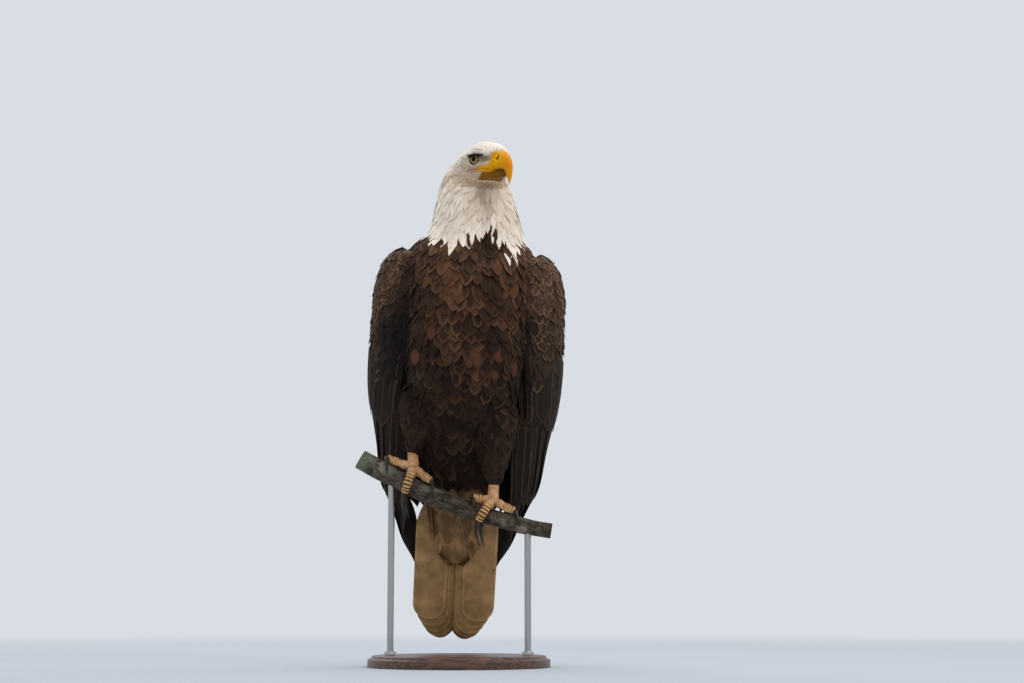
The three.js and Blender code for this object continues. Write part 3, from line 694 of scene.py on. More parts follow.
def shapeAt(kind, share):
    table = vaneShapes[kind]
    return np.interp(share, np.linspace(0, 1, len(table)), table)


# Marches a midline from each root: length / rows at a time along the lie, settling back on the skin.
def marchFrom(root, normal, length, yaw, rows):
    middle, normals = [root], [normal]
    step = (length / (rows - 1))[:, None]
    cosYaw, sinYaw = np.cos(yaw)[:, None], np.sin(yaw)[:, None]
    for _ in range(rows - 1):
        flow = lieOf(middle[-1], normals[-1])
        flow = flow * cosYaw + np.cross(normals[-1], flow) * sinYaw
        spot, facing = settle(middle[-1] + flow * step)
        middle.append(spot)
        normals.append(facing)
    return np.stack(middle, 1), np.stack(normals, 1)


# One tract of small feathers: settle the roots, drop those buried under another body, march and build.
def layTract(name, roots, mapPlace, plan, looksOf, shape="soft", rows=8, keep=None):
    placed, normals = settle(roots)
    kept = np.linalg.norm(placed - roots, axis=1) < plan.get("reach", 4.0)
    if keep is not None:
        kept &= keep(placed, normals)
    placed, normals, mapPlace = placed[kept], normals[kept], mapPlace[kept]
    count = len(placed)
    length = plan["length"](placed) * rng.normal(1, 0.09, count).clip(0.75, 1.25)
    halfWidth = plan["half"](placed) * rng.normal(1, 0.08, count).clip(0.8, 1.2)
    middle, facing = marchFrom(placed, normals, length, rng.normal(0, plan.get("yaw", 0.09), count), rows)
    facing[:, 1:-1] = unit(facing[:, :-2] + facing[:, 1:-1] * 2 + facing[:, 2:])
    share = np.linspace(0, 1, rows)
    half = halfWidth[:, None] * shapeAt(shape, share)[None]
    half = half * rng.normal(1, plan.get("ragged", 0.05), half.shape).clip(0.75, 1.2)
    rise = plan["rise"](placed) * rng.normal(1, 0.2, count).clip(0.5, 1.6)
    lift = rise[:, None] * share[None] ** 1.3 - 0.4    # from a root sunk in the skin to a tip that stands off
    looks = looksOf(placed, facing[:, 0], count)
    roll = rng.normal(0, plan.get("roll", 0.08), count)
    piece = vanes(name, middle, facing, half, lift, looks, mapPlace, thick=plan.get("thick", 0.42),
                  camber=plan.get("camber", 0.006), roll=roll)
    print(name, "has", count, "feathers")
    return piece


# One colour for each share of the second, which is held between 0 and 1.
def mixed(first, second, share):
    share = np.clip(share, 0, 1)[:, None]
    return linear(first) * (1 - share) + linear(second) * share


# Mixes a colour into each tint by a share: markings, streaks and painted shade alike.
def tintedToward(tint, code, share):
    share = share.reshape(-1, 1)
    return tint * (1 - share) + linear(code) * share


# Each body's surface, and how its levels map to the height of its part of the unwrap.
rootSurfaces = {"head": (headSurface, 70, 98), "neck": (neckSurface, -380, 170),
                "trunk": (trunkSurface, 95, 530)}


def rowsOnBody(body, levels, spacing):
    surface, shift, span = rootSurfaces[body]
    roots, spots = rowsOn(lambda a, z: surface(a, z, -coatDepth[body]), levels, spacing)
    return roots, spots, onMap(body, spots[:, 0] / (2 * np.pi), (spots[:, 1] + shift) / span)


print("coat tools are ready")

# Head: from 3 mm scales at the bill to 30 mm hackles at the nape.
def billDistance(points):
    return np.linalg.norm(points - onHead(30, 0, -4), axis=1)


headPlan = {
    "length": lambda p: np.interp(billDistance(p), [10, 25, 45, 70, 100], [5, 7.5, 12, 20, 32]),
    "half": lambda p: np.interp(billDistance(p), [10, 25, 45, 70, 100], [1.3, 1.7, 2.7, 4.2, 5.6]),
    "rise": lambda p: np.interp(billDistance(p), [10, 40, 80], [1.0, 1.5, 2.4]),
    "yaw": 0.08, "ragged": 0.06, "camber": 0.014, "thick": 0.32, "roll": 0.05, "reach": 9.0,
}


# White above; duller and warmer on the cheeks, partly painted shade, brown-grey on the lores, a brown streak
# down the throat, and a painted shade ring round the eye below the brow.
def whiteLooks(points, normals, count):
    f, r, h = intoHead(points)
    lore = bell(f, h, 17, -4, 9, 5.5) * (np.abs(r) > 7)
    throat = smoothStep(-22, -40, h) * smoothStep(-30, 6, f)
    # Duller and warmer low on the cheeks: partly real, partly painted shade from the light above.
    cheek = smoothStep(8, -14, h) * smoothStep(-80, -50, f)
    warm = 0.1 + 0.72 * cheek + 0.3 * throat + rng.normal(0, 0.12, count)
    tint = mixed("#fdf1e2", "#c0a384", warm)
    streak = 0.85 * throat * np.exp(-((r - 4) / 9) ** 2) * rng.uniform(0.5, 1.0, count)
    tint = tintedToward(tint, "#87623d", streak)
    tint = tintedToward(tint, "#94806f", 0.8 * lore)
    fromEye = np.min([np.linalg.norm(points - centre, axis=1) for centre, _ in eyes.values()], axis=0)
    # Painted shade: a grey-brown ring round the eye, below the brow.
    ring = 0.5 * smoothStep(18, 13, fromEye) * smoothStep(4, 0, h)
    tint = tintedToward(tint, "#8d7a66", ring)
    return {"tint": tint, "edge": tint * 1.04, "edgeWidth": np.full(count, 0.4)}


# Bare skin starts in front of an edge that runs down behind the nostril and back along the gape.
def bareFace(f, h):
    edge = np.interp(h, [-34.5, -32, -30, -27, -24, -15.5, -14, -12.5, -9.2, 0.9, 4.5, 6],
                     [30, -2, 1, 8, 13, 14, 18, 24, 27, 29.5, 33, 60])
    return smoothStep(-0.8, 0.8, f - edge)


def awayFromFace(points, normals):
    clear = np.ones(len(points), bool)
    f, r, h = intoHead(points)
    below = h < np.interp(f, browFs, browHs) - 1
    for centre, gaze in eyes.values():
        away = points - centre
        distance = np.linalg.norm(away, axis=1)
        facing = away @ gaze / np.maximum(distance, 1e-6)
        clear &= ~((facing > 0.3) & (distance < facePlan["eyeRadius"] + 3.2) & below)
    bare = (bareFace(f, h) > 0.3) | (f > 44)
    onBrow = (np.abs(h - np.interp(f, browFs, browHs) + 6.2) < 1.8) & (f > -8) & (f < 22)
    return clear & ~bare & ~onBrow


headLevels = stepsDown(41.0, -66.0, lambda f: np.interp(41 - f, [0, 30, 55, 100], [2.0, 2.8, 4.4, 8.0]))
headSpacing = np.interp(41 - headLevels, [0, 30, 55, 100], [1.9, 2.5, 3.6, 5.6])
roots, spots, mapPlace = rowsOnBody("head", headLevels, headSpacing)
coatHead = layTract("coat_head", roots, mapPlace, headPlan, whiteLooks, rows=7, keep=awayFromFace)

# Neck: hackles, long and pointed, the lowest hanging over the breast in a jagged fringe.
neckPlan = {"length": byHeight([640, 760], [47, 30]),
            "half": byHeight([640, 760], [7.0, 5.6]),
            "rise": byHeight([640, 760], [3.6, 2.6]), "yaw": 0.1, "ragged": 0.08,
            "camber": 0.012, "roll": 0.06}


def neckLooks(points, normals, count):
    f, r, h = intoHead(points)
    throat = smoothStep(-105, -60, h) * smoothStep(-50, -10, f)
    warm = 0.12 + 0.3 * throat + rng.normal(0, 0.14, count)
    tint = mixed("#fbeedd", "#cdb393", warm)
    streak = 0.8 * throat * np.exp(-((r - 4) / 10) ** 2) * rng.uniform(0.2, 1.0, count)
    tint = tintedToward(tint, "#87623d", streak)
    return {"tint": tint, "edge": tint * 1.05, "edgeWidth": np.full(count, 0.5)}


# The collar's lower limit runs round the neck in waves (height, count, phase), with a brown notch (height,
# middle, width) left of the breast's middle.
collarPlan = {"level": 424, "waves": ((7, 5, 0.6), (5, 11, 2)), "notch": (27, 0.30, 0.13)}


def collar(angle):
    angle = (angle + np.pi) % (2 * np.pi) - np.pi
    wave = sum(high * np.sin(angle * count + phase) for high, count, phase in collarPlan["waves"])
    high, middle, wide = collarPlan["notch"]
    return collarPlan["level"] + wave + high * np.exp(-((angle - middle) / wide) ** 2)


neckLevels = stepsDown(546.0, 386.0, lambda z: np.interp(z, [390, 540], [10.0, 8.0]))
roots, spots, mapPlace = rowsOnBody("neck", neckLevels, np.interp(neckLevels, [390, 540], [6.6, 5.4]))
isWhite = spots[:, 1] + rng.normal(0, 5, len(spots)) > collar(spots[:, 0])
coatNeck = layTract("coat_neck", roots[isWhite], mapPlace[isWhite], neckPlan, neckLooks, "pointed", rows=9)

# Trunk: broad dark brown feathers with paler, worn edges.
breastPlan = {"length": byHeight([240, 420, 640], [44, 40, 42]),
              "half": byHeight([240, 420, 640], [9.5, 11.5, 9.5]),
              "rise": byHeight([300, 640], [5.0, 5.5]), "yaw": 0.1, "ragged": 0.08,
              "camber": 0.011}


# Brown: dark with broad worn tan tips on the breast; nearly black on the belly, partly real and partly
# painted shade, and painted shade beside the wings.
def bodyLooks(points, normals, count):
    z = points[:, 2]
    fromMiddle = besideMiddle(points)
    upper = smoothStep(370, 560, z)
    front = smoothStep(0.0, 0.6, -normals[:, 1])
    # Painted shade: front feathers go nearly black beside the wings, in the gap under them.
    shade = (1 - 0.85 * smoothStep(70, 92, fromMiddle) * front * smoothStep(625, 560, z))[:, None]
    blotch = 0.5 + 0.5 * np.sin(points[:, 0] / 17 + 2 * np.sin(z / 29)) * np.sin(z / 23 + 1.3)
    # The lower breast and belly are painted darker than the upper breast, partly as painted shade.
    dark = mixed("#140b06", "#3d2518", 0.1 + 0.5 * upper + rng.normal(0, 0.2, count))
    rufous = (rng.random(count) < 0.3 * upper * front * blotch)[:, None]
    tint = np.where(rufous, linear("#5a3420"), dark) * shade
    pale = 0.04 + upper * (0.1 + 0.65 * blotch) + rng.normal(0, 0.2, count)
    edge = mixed("#1c1109", "#6b4a32", pale) * shade
    return {"tint": tint, "edge": edge, "edgeWidth": np.clip(rng.normal(7.0, 2.5, count), 2, 12)}


def thighLooks(points, normals, count):
    tint = mixed("#1c120a", "#3b2a1d", 0.35 + rng.normal(0, 0.2, count))
    return {"tint": tint, "edge": tint * 1.4, "edgeWidth": np.clip(rng.normal(4.0, 1.0, count), 1, 7)}


trunkLevels = stepsDown(432.0, 60.0, lambda z: np.interp(z, [60, 200, 400], [12.0, 13.0, 11.5]))
roots, spots, mapPlace = rowsOnBody("trunk", trunkLevels, np.full(len(trunkLevels), 12.5))
coatBody = layTract("coat_body", roots, mapPlace, dict(breastPlan, reach=6.0), bodyLooks)
roots, spots, mapPlace = rowsOnBody("neck", neckLevels, np.interp(neckLevels, [390, 540], [8.5, 8.0]))
isBrown = spots[:, 1] < collar(spots[:, 0]) + 2
coatCollar = layTract("coat_collar", roots[isBrown], mapPlace[isBrown], dict(
    breastPlan, half=byHeight([0], [7.5]), rise=byHeight([0], [3.2])), bodyLooks, "pointed")

# Tail root: long loose feathers over the base of the tail, before and behind, tan in front as painted shade.
ventPlan = {"length": byHeight([150, 300], [66, 70]), "half": byHeight([0], [9.0]),
            "rise": byHeight([0], [2.6]), "yaw": 0.12, "ragged": 0.1, "reach": 6.0}


# Under the tail's root: streaky, tan to brown as painted shade over white coverts, darker up towards the
# body; white over the rump.
def ventLooks(points, normals, count):
    behind = smoothStep(0.75, 0.95, normals[:, 1])[:, None]
    low = smoothStep(290, 200, points[:, 2])
    tint = mixed("#3a2615", "#97734c", 0.4 + 0.45 * low + rng.normal(0, 0.16, count))
    tint = tintedToward(tint, "#ddd0bb", behind)
    return {"tint": tint, "edge": tint * 1.12, "edgeWidth": np.full(count, 5.0)}


ventLevels = stepsDown(52.0, -70.0, lambda z: 15.0)
roots, spots, mapPlace = rowsOnBody("trunk", ventLevels, np.full(len(ventLevels), 11.0))
coatVent = layTract("coat_vent", roots, mapPlace, ventPlan, ventLooks, rows=9,
                    keep=lambda p, n: (n[:, 1] < 0.1) | (p[:, 2] > 262))

# Thighs: short dark plush down to the ankle.
thighPlan = {"length": byHeight([290, 400], [22, 32]),
             "half": byHeight([290, 400], [4.6, 7.0]),
             "rise": byHeight([0], [3.2]), "yaw": 0.12, "ragged": 0.1, "camber": 0.02}
coatThighs = []
for side, path in thighPaths.items():
    rings = limbRings(path, thighRadii, 241, (0, 1, 0))

    def thighSurface(angle, level):
        row = np.clip(np.asarray(level) / 100 * (len(path) - 1), 0, len(path) - 1)
        low = np.floor(row).astype(int)
        high = np.minimum(low + 1, len(path) - 1)
        column = np.round(np.asarray(angle) / (2 * np.pi) * 240).astype(int) % 241
        part = (row - low)[..., None]
        return rings[low, column] * (1 - part) + rings[high, column] * part

    levels = np.arange(8, 97, 4.2)
    roots, spots = rowsOn(thighSurface, levels, np.interp(levels, [8, 97], [8.5, 4.6]))
    coatThighs.append(layTract("coat_thigh_" + side, roots, onMap(
        "thigh" + side, spots[:, 0] / (2 * np.pi), 1 - spots[:, 1] / 100),
        thighPlan, thighLooks, "plush", rows=7))

# Wing coverts: small scaly feathers over the shoulder, larger down the wing and over the back.
covertPlan = {"length": byHeight([430, 520, 640], [46, 34, 22]),
              "half": byHeight([430, 520, 640], [11, 8.2, 6.0]),
              "rise": byHeight([430, 640], [5.0, 3.6]), "yaw": 0.1, "ragged": 0.05,
              "camber": 0.012, "reach": 6.0}


# Scaly and tan-edged over the shoulder; painted shade down the inner front of the wing and in the seam by the
# breast; warmer on its outer side.
def covertLooks(points, normals, count):
    z = points[:, 2]
    small = smoothStep(500, 600, z)
    low, high = wingTable[0, 0], wingTable[-1, 0]
    level = np.clip(z - bird["perchHeight"], low, high)
    outer = np.interp(level, wingTable[:, 0], wingTable[:, 2])
    across = (np.abs(points[:, 0] - bird["offset"]) - outer + 62) / 62
    front = smoothStep(0.3, -0.2, normals[:, 1])
    # Painted shade: darker down the inner front of the wing, near black in the seam where it meets the
    # breast; the edges take it twice.
    panelShade = smoothStep(0.62, 0.36, across) * front * smoothStep(585, 540, z)
    seamShade = smoothStep(0.22, 0.05, across) * front
    shade = ((1 - 0.72 * panelShade) * (1 - 0.6 * seamShade))[:, None]
    tone = 0.15 + 0.55 * small + 0.2 * smoothStep(0.5, 0.9, across) + rng.normal(0, 0.16, count)
    tint = mixed("#1a100a", "#4e3525", tone) * shade
    pale = 0.25 + 0.3 * small + rng.normal(0, 0.22, count)
    edge = mixed("#463021", "#947253", pale) * shade * shade
    return {"tint": tint, "edge": edge, "edgeWidth": np.clip(rng.normal(3.0, 1.0, count), 1, 6)}


def wingRoots(outward, angle, z):
    return wingSurface(outward, angle, z, -coatDepth["wing"])


# Turns on a wing start from wingBack inside its front edge.
wingBack = 1.2


def onWingMap(side, turn, z):
    return onMap("wing" + side, (turn + wingBack) / 4.4, (z + 96) / 500)


coatCoverts = []
for side, outward in (("right", -1), ("left", 1)):
    levels = stepsDown(402.0, 218.0, lambda z: np.interp(z, [210, 290, 400], [13.0, 9.5, 7.0]))
    surface = partial(wingRoots, outward)
    spacing = np.interp(levels, [210, 290, 400], [12.5, 9.0, 7.0])
    roots, spots = rowsOn(surface, levels, spacing, (-wingBack, np.pi))
    # The shoulder's top is feathered all round.
    top = levels[levels > 330]
    topRoots, topSpots = rowsOn(surface, top, np.full(len(top), 7.0), (np.pi, 2 * np.pi - wingBack))
    roots, spots = np.concatenate([roots, topRoots]), np.concatenate([spots, topSpots])
    coatCoverts.append(layTract("coat_coverts_" + side, roots, onWingMap(side, *spots.T),
        covertPlan, covertLooks, "covert",
        keep=lambda p, n: ((n[:, 0] * outward > -0.45) | (n[:, 1] < 0) | (p[:, 2] > 570))
        & ~((n[:, 1] > 0.3) & (np.abs(p[:, 0] - bird["offset"]) < 66) & (np.abs(p[:, 2] - 560) < 60))))

# Scapulars: a cape of broad feathers over back and wings, on a smooth sheet drawn over the valleys between.
capePlan = {"grid": 4.0, "closing": 4, "height": (7.0, 1.0), "rise": 5.0, "rows": 12, "half": (9.0, 14.0),
            "length": (42, 76), "ragged": 0.04}
capeX, capeZ = np.arange(-120, 121, capePlan["grid"]), np.arange(380, 661, capePlan["grid"])


def around(sheet, reach, rule):
    padded = np.pad(sheet, reach, mode="edge")
    wide, high = sheet.shape
    return rule(np.stack([padded[i:i + wide, j:j + high]
                          for i in range(2 * reach + 1) for j in range(2 * reach + 1)]), axis=0)


# Rearmost skin in each cell, then dilated, eroded and blurred: valleys fill and ridges stay.
points = readPoints(skin.data)
i = np.round((points[:, 0] - capeX[0]) / capePlan["grid"]).astype(int)
j = np.round((points[:, 2] - capeZ[0]) / capePlan["grid"]).astype(int)
inside = (i >= 0) & (i < len(capeX)) & (j >= 0) & (j < len(capeZ))
sheet = np.full((len(capeX), len(capeZ)), -40.0)
np.maximum.at(sheet, (i[inside], j[inside]), points[inside, 1])
sheet = around(around(sheet, capePlan["closing"], np.max), capePlan["closing"], np.min)
for _ in range(4):
    sheet = around(sheet, 1, np.mean)


def capeAt(x, z):
    i = np.clip((x - capeX[0]) / capePlan["grid"], 0, len(capeX) - 1.001)
    j = np.clip((z - capeZ[0]) / capePlan["grid"], 0, len(capeZ) - 1.001)
    u, v = i % 1, j % 1
    i, j = i.astype(int), j.astype(int)
    return ((sheet[i, j] * (1 - u) + sheet[i + 1, j] * u) * (1 - v)
            + (sheet[i, j + 1] * (1 - u) + sheet[i + 1, j + 1] * u) * v)


column, row = np.meshgrid(np.arange(-8, 9), np.arange(12), indexing="ij")
x = ((column + 0.5 * (row % 2)) * 11.5).ravel() + rng.normal(0, 1.2, column.size)
z = (650 - row * 13.0).ravel() - 0.0022 * x * x + rng.normal(0, 2.5, column.size)
kept = np.abs(x) < np.interp(z, [500, 560, 640], [60, 92, 96])
x, z, count = x[kept], z[kept], kept.sum()
share = np.linspace(0, 1, capePlan["rows"])[None]
length = np.interp(z, [500, 640], capePlan["length"][::-1]) * rng.normal(1, 0.06, count)
lineX = x[:, None] + bird["offset"] - (leanSlope + 0.0008 * x[:, None]) * length[:, None] * share
lineZ = z[:, None] - length[:, None] * share
slopeX = (capeAt(lineX + 4, lineZ) - capeAt(lineX - 4, lineZ)) / 8
slopeZ = (capeAt(lineX, lineZ + 4) - capeAt(lineX, lineZ - 4)) / 8
facing = unit(np.stack([-slopeX, np.ones_like(slopeX), -slopeZ], -1))
height = np.interp(lineZ, [600, 640], capePlan["height"])  # it comes out from under the neck's fringe
middle = np.stack([lineX, capeAt(lineX, lineZ), lineZ], -1) + facing * height[..., None]
half = np.interp(z, [500, 640], capePlan["half"][::-1])[:, None] * shapeAt("covert", share)
half = half * rng.normal(1, capePlan["ragged"], half.shape).clip(0.85, 1.15)
lift = capePlan["rise"] * share * rng.uniform(0.8, 1.2, (count, 1))
looks = covertLooks(middle[:, 0], facing[:, 0], count)
coatScapular = vanes("coat_scapular", middle, facing, half, lift, looks,
                     onMap("trunk", 0.5 + x / 240, (z - 140) / 530), camber=0.008)
print("coat_scapular has", count, "feathers")
print("small feathers are laid")

# Long feathers of wing and tail, each a vane along a line on the wing's or tail's own surface.
longShapes = {
    "broad": [0.2, 0.62, 0.84, 0.95, 1.0, 1.0, 1.0, 0.99, 0.96, 0.88, 0.7, 0.0],
    "blade": [0.2, 0.6, 0.85, 0.97, 1.0, 0.98, 0.94, 0.86, 0.74, 0.58, 0.38, 0.0],
}


def longShape(kind, share):
    table = longShapes[kind]
    inner = np.interp(share, np.linspace(0, 1, len(table)), table)
    tip = np.sqrt(np.clip(1 - ((share - 0.9) / 0.1).clip(0, 1) ** 2, 0, 1))
    return inner if kind == "blade" else np.minimum(inner + 0.05, 1) * tip


# Each feather runs from (turn0, z0) to (turn1, z1) on the wing; layer is its height over the core, in mm.
def layWingFeathers(name, side, outward, plan, looks, kind):
    rows = 24
    share = 1 - (1 - np.linspace(0, 1, rows)[None]) ** 1.7
    turn = plan["turn0"][:, None] * (1 - share) + plan["turn1"][:, None] * share
    z = plan["z0"][:, None] * (1 - share) + plan["z1"][:, None] * share
    layer = plan["layer"][:, None] + plan.get("tipRise", 2.0) * share ** 1.5
    middle = wingSurface(outward, turn, z, layer)
    ahead = wingSurface(outward, turn + 0.02, z, layer)
    behind = wingSurface(outward, turn - 0.02, z, layer)
    onward = unit(np.gradient(middle, axis=1))
    normal = unit(np.cross(ahead - behind, onward))
    fromInside = (middle - onBird(0, 40, 150)) * (1, 1, 0)
    normal = normal * np.sign(np.sum(normal * fromInside, -1, keepdims=True))
    half = plan["half"][:, None] * longShape(kind, share)
    root = onWingMap(side, plan["turn0"], plan["z0"])
    return vanes(name, middle, normal, half, np.zeros_like(half), looks, root, plan.get("camber", 0.004),
                 tops=9, thick=0.7)


def flightLooks(count, darkness, edgeWidth):
    tint = mixed("#0f0a07", "#2d2017", darkness + rng.normal(0, 0.12, count))
    edge = mixed("#2f2118", "#6f543b", 0.4 + rng.normal(0, 0.2, count))
    return {"tint": tint, "edge": edge, "edgeWidth": np.full(count, edgeWidth)}


# Each row of a wing: feathers, shape, darkness and edge, and where they lie as k goes from 0 at the front
# to 1. The primaries lie beneath, with staggered tips; the secondaries are the long closed panel of the
# wing's side and back; the greater coverts cover their roots.
wingPlan = {
    "primaries": (9, "blade", (0.3, 1.2), lambda k: {
        "turn0": 0.05 + 1.3 * k, "turn1": 0.5 + 1.7 * k, "z0": 140 - 30 * k, "z1": -20 - 72 * k ** 0.8,
        "layer": -6 + 2.5 * k, "half": 13 + 2 * k, "tipRise": 1.0}),
    "secondaries": (14, "broad", (0.45, 1.8), lambda k: {
        "turn0": 0.1 + 2.75 * k, "turn1": 0.35 + 2.6 * k, "z0": 215 - 20 * k,
        "z1": 2 + 22 * np.sin(np.pi * k) - 22 * k + rng.normal(0, 4, k.size),
        "layer": -2.5 + 4 * k, "half": 15 + 3 * k}),
    "greater_coverts": (19, "broad", (0.5, 2.2), lambda k: {
        "turn0": -0.25 + 3.2 * k, "turn1": -0.1 + 3.1 * k, "z0": 244 - 8 * k + rng.normal(0, 3, k.size),
        "z1": 132 - 10 * k - 40 * np.clip(k - 0.6, 0, 1) + rng.normal(0, 8, k.size),
        "layer": -1.5 + 2.5 * k, "half": 12.5 + 2 * k, "tipRise": 4.5, "camber": 0.006}),
}
wingPieces = {}
for side, outward in (("right", -1), ("left", 1)):
    for row, (count, kind, look, placesAt) in wingPlan.items():
        places = placesAt(np.linspace(0, 1, count))
        looks = flightLooks(count, *look)
        wingPieces[row, side] = layWingFeathers(f"{row}_{side}", side, outward, places, looks, kind)
print("wings are laid")

# Tail: six feathers a side, the outermost in front; t runs down the tail, x across it.
tailPlan = {"top": (84, 44), "tip": (146, -200), "half": 66, "arch": 9}


def tailSurface(x, t, out):
    across = x / tailPlan["half"]
    y = tailPlan["top"][0] * (1 - t) + tailPlan["tip"][0] * t - tailPlan["arch"] * across ** 2 - out
    return onBird(x, y, tailPlan["top"][1] * (1 - t) + tailPlan["tip"][1] * t)


rows = 30
share = 1 - (1 - np.linspace(0, 1, rows)[None]) ** 1.8
k = np.tile(np.arange(6), 2)
sign = np.repeat([-1, 1], 6)
centreX = sign * np.interp(k, range(6), [38.5, 32.5, 27.5, 23.5, 19.5, 15.5])
tipT = np.interp(k, range(6), [0.885, 0.93, 0.965, 0.992, 1.0, 0.99])
halfWide = np.interp(k, range(6), [26.5, 26, 25.5, 24.5, 23, 21])
depth = 4.6 - 1.7 * k + np.where(sign > 0, 0.5, 0)
x = centreX[:, None] * (0.55 + 0.45 * smoothStep(0, 0.3, share))
t = 0.02 + (tipT[:, None] - 0.02) * share
middle = tailSurface(x, t, depth[:, None] + 0 * share)
onward = unit(np.gradient(middle, axis=1))
normal = unit(np.cross(onward, np.array([1.0, 0, 0])))
normal = normal * np.sign(-normal[..., 1:2])
# Parallel sides, a narrow root, and a tip that closes as a half ellipse.
ending = np.sqrt(np.clip(1 - (np.clip(share - 0.885, 0, 1) / 0.115) ** 2, 0, 1))
half = halfWide[:, None] * np.interp(share, [0, 0.1, 0.3, 1], [0.3, 0.75, 1, 0.97]) * ending
# Underside tan to brown, darker for the inner feathers: painted shade and stain over white; the top side is
# white.
tint = mixed("#a37f55", "#5f452b", 0.05 + 0.16 * k + rng.normal(0, 0.08, 12))
back = mixed("#efe6d8", "#d9ccb6", 0.3 + rng.normal(0, 0.15, 12))
tail = vanes("tail_feathers", middle, normal, half, np.zeros_like(half),
             {"tint": tint, "edge": tint * 1.3, "edgeWidth": np.full(12, 5.0), "back": back},
             onMap("tail", 0.5 + centreX / 140, np.full(12, 0.5)), tops=9, thick=0.9, camber=0.0035)
print("tail is laid")

# Skin's markings by where each point is, with painted shadow under the brow and painted shade on the bare
# skin below the gape.
points = readPoints(skin.data)
f, r, h = intoHead(points)
birdZ = points[:, 2] - bird["perchHeight"]
white = smoothStep(404, 414, birdZ)[:, None]
# Tan low by the tail's root, as the coverts over it: painted shade.
tan = (smoothStep(50, 25, birdZ) * smoothStep(60, 50, besideMiddle(points)))[:, None]
lore = bell(f, h, 17, -5, 11, 6.5) * (np.abs(r) > 6)
shadow = bell(f, h, 8, 1, 15, 3.5) * (np.abs(r) > 8)
tint = linear("#2a1c12") * (1 - tan) + linear("#6b4f33") * tan
tint = tintedToward(tint, "#d2bfa6", white)
tint = tintedToward(tint, "#9a8270", lore)
tint = tintedToward(tint, "#3d2d22", 0.8 * shadow)
bare = (bareFace(f, h) * (h > -34.5) * (f > -4))[:, None]
# Bare skin: yellow above, dark brown below the gape as painted shade.
fleshyShadedBelow = mixed("#8a5a10", "#dfa010", smoothStep(-26, -20, h))
tint = tint * (1 - bare) + fleshyShadedBelow * bare
addAttribute(skin, "tint", np.concatenate([tint, np.ones((len(tint), 1))], 1))

# Bill.
# Outlines in the head's midplane, forward and up, and half widths evenly spaced from base to tip.
billPlan = {
    "culmen": [(47, 4.1), (51, 2.3), (55.2, -0.4), (61, -7), (65.2, -15), (67.6, -24.5), (67.8, -34.5),
               (66, -42.5), (63, -49.4)],
    "tomium": [(46.6, -22.9), (51, -24.4), (55, -27), (57.6, -31), (59.2, -36), (60.4, -41), (61.4, -45.5),
               (62.4, -49.8)],
    "upperHalves": (12.4, 11.5, 10.2, 8.7, 7.2, 5.8, 4.3, 2.7, 0.6),
    "cereTop": [(16, 4.5), (26, 7), (34, 7.6), (42, 6.3), (51.5, 3.0)],
    "cereBottom": [(16, -19), (26, -20), (34, -21), (42, -22.4), (50.5, -24.6)],
    "cereHalves": (17, 16, 14.4, 13.1, 11.9),
    "lowerTop": [(2, -20.6), (20, -21), (36, -22.6), (48, -25), (53.5, -27.6)],
    "lowerBottom": [(2, -30.4), (20, -32), (36, -34.2), (47, -34), (53.5, -30.6)],
    "lowerHalves": (21, 15.6, 10.6, 7.2, 2.2),
    "taper": 0.34, "ripples": (0.012, 46, 1.5),
    "nostril": (44.0, -5.6), "nostrilTilt": 50, "nostrilSize": (4.1, 2.8), "nostrilDepth": 4.0,
}


# Sections between two outlines: r = half sin a (1 - taper (1 + cos a) / 2), with cos a from one to the other.
def billRings(upper, lower, halves, rows, columns, full=2.4, taper=0.0):
    top, bottom = smoothPath(upper, rows), smoothPath(lower, rows)
    half = np.interp(np.linspace(0, 1, rows), np.linspace(0, 1, len(halves)), halves)
    half = evened(half, 3)
    angle = turns(columns)
    part = squared(np.cos(angle), 2)[None]
    middle, reach = (top + bottom) / 2, (top - bottom) / 2
    r = half[:, None] * squared(np.sin(angle), full)[None] * (1 - taper * (1 + part) / 2)
    spot = middle[:, None] + reach[:, None] * part[..., None]
    return spot[..., 0], r, spot[..., 1]


def billPiece(name, f, r, h):
    return closedTube(name, onHead(f, r, h))


rowsBill, columnsBill = 90, 72
f, r, h = billRings(billPlan["culmen"], billPlan["tomium"], billPlan["upperHalves"], rowsBill, columnsBill,
                    taper=billPlan["taper"])
# The cutting edge folds in under the bill, and shallow growth ripples cross its sides.
height, count, sway = billPlan["ripples"]
spin = np.linspace(0, 2 * np.pi, columnsBill)
ripple = np.sin(np.linspace(0, 1, rowsBill)[:, None] * count + sway * np.cos(spin))
upperBill = billPiece("bill_upper_horn", f, r * (1 + height * ripple), h)
alongBill = np.repeat(np.linspace(0, 1, rowsBill), columnsBill)
addAttribute(upperBill, "run", np.concatenate([alongBill, [0, 1]]))

f, r, h = billRings(billPlan["cereTop"], billPlan["cereBottom"], billPlan["cereHalves"], 90, 110,
                    taper=billPlan["taper"])
nostrilF, nostrilH = billPlan["nostril"]
tilt = np.radians(billPlan["nostrilTilt"])
u = (f - nostrilF) * np.cos(tilt) + (h - nostrilH) * np.sin(tilt)
v = -(f - nostrilF) * np.sin(tilt) + (h - nostrilH) * np.cos(tilt)
slitLong, slitWide = billPlan["nostrilSize"]
inSlit = np.exp(-(np.abs(u / slitLong) ** 3 + np.abs(v / slitWide) ** 2.6))
swell = 0.5 * bell(u, v, 0, 0, 8, 6) - 0.4 * smoothStep(47, 51, f)
r = r + np.sign(r) * (swell - billPlan["nostrilDepth"] * inSlit) * (np.abs(r) > 4)
cere = billPiece("bill_cere_skin", f, r, h)
# The slit is painted dark as the shade inside the nostril's opening.
addAttribute(cere, "dark", np.concatenate([smoothStep(0.25, 0.6, inSlit).ravel(), [0, 0]]))

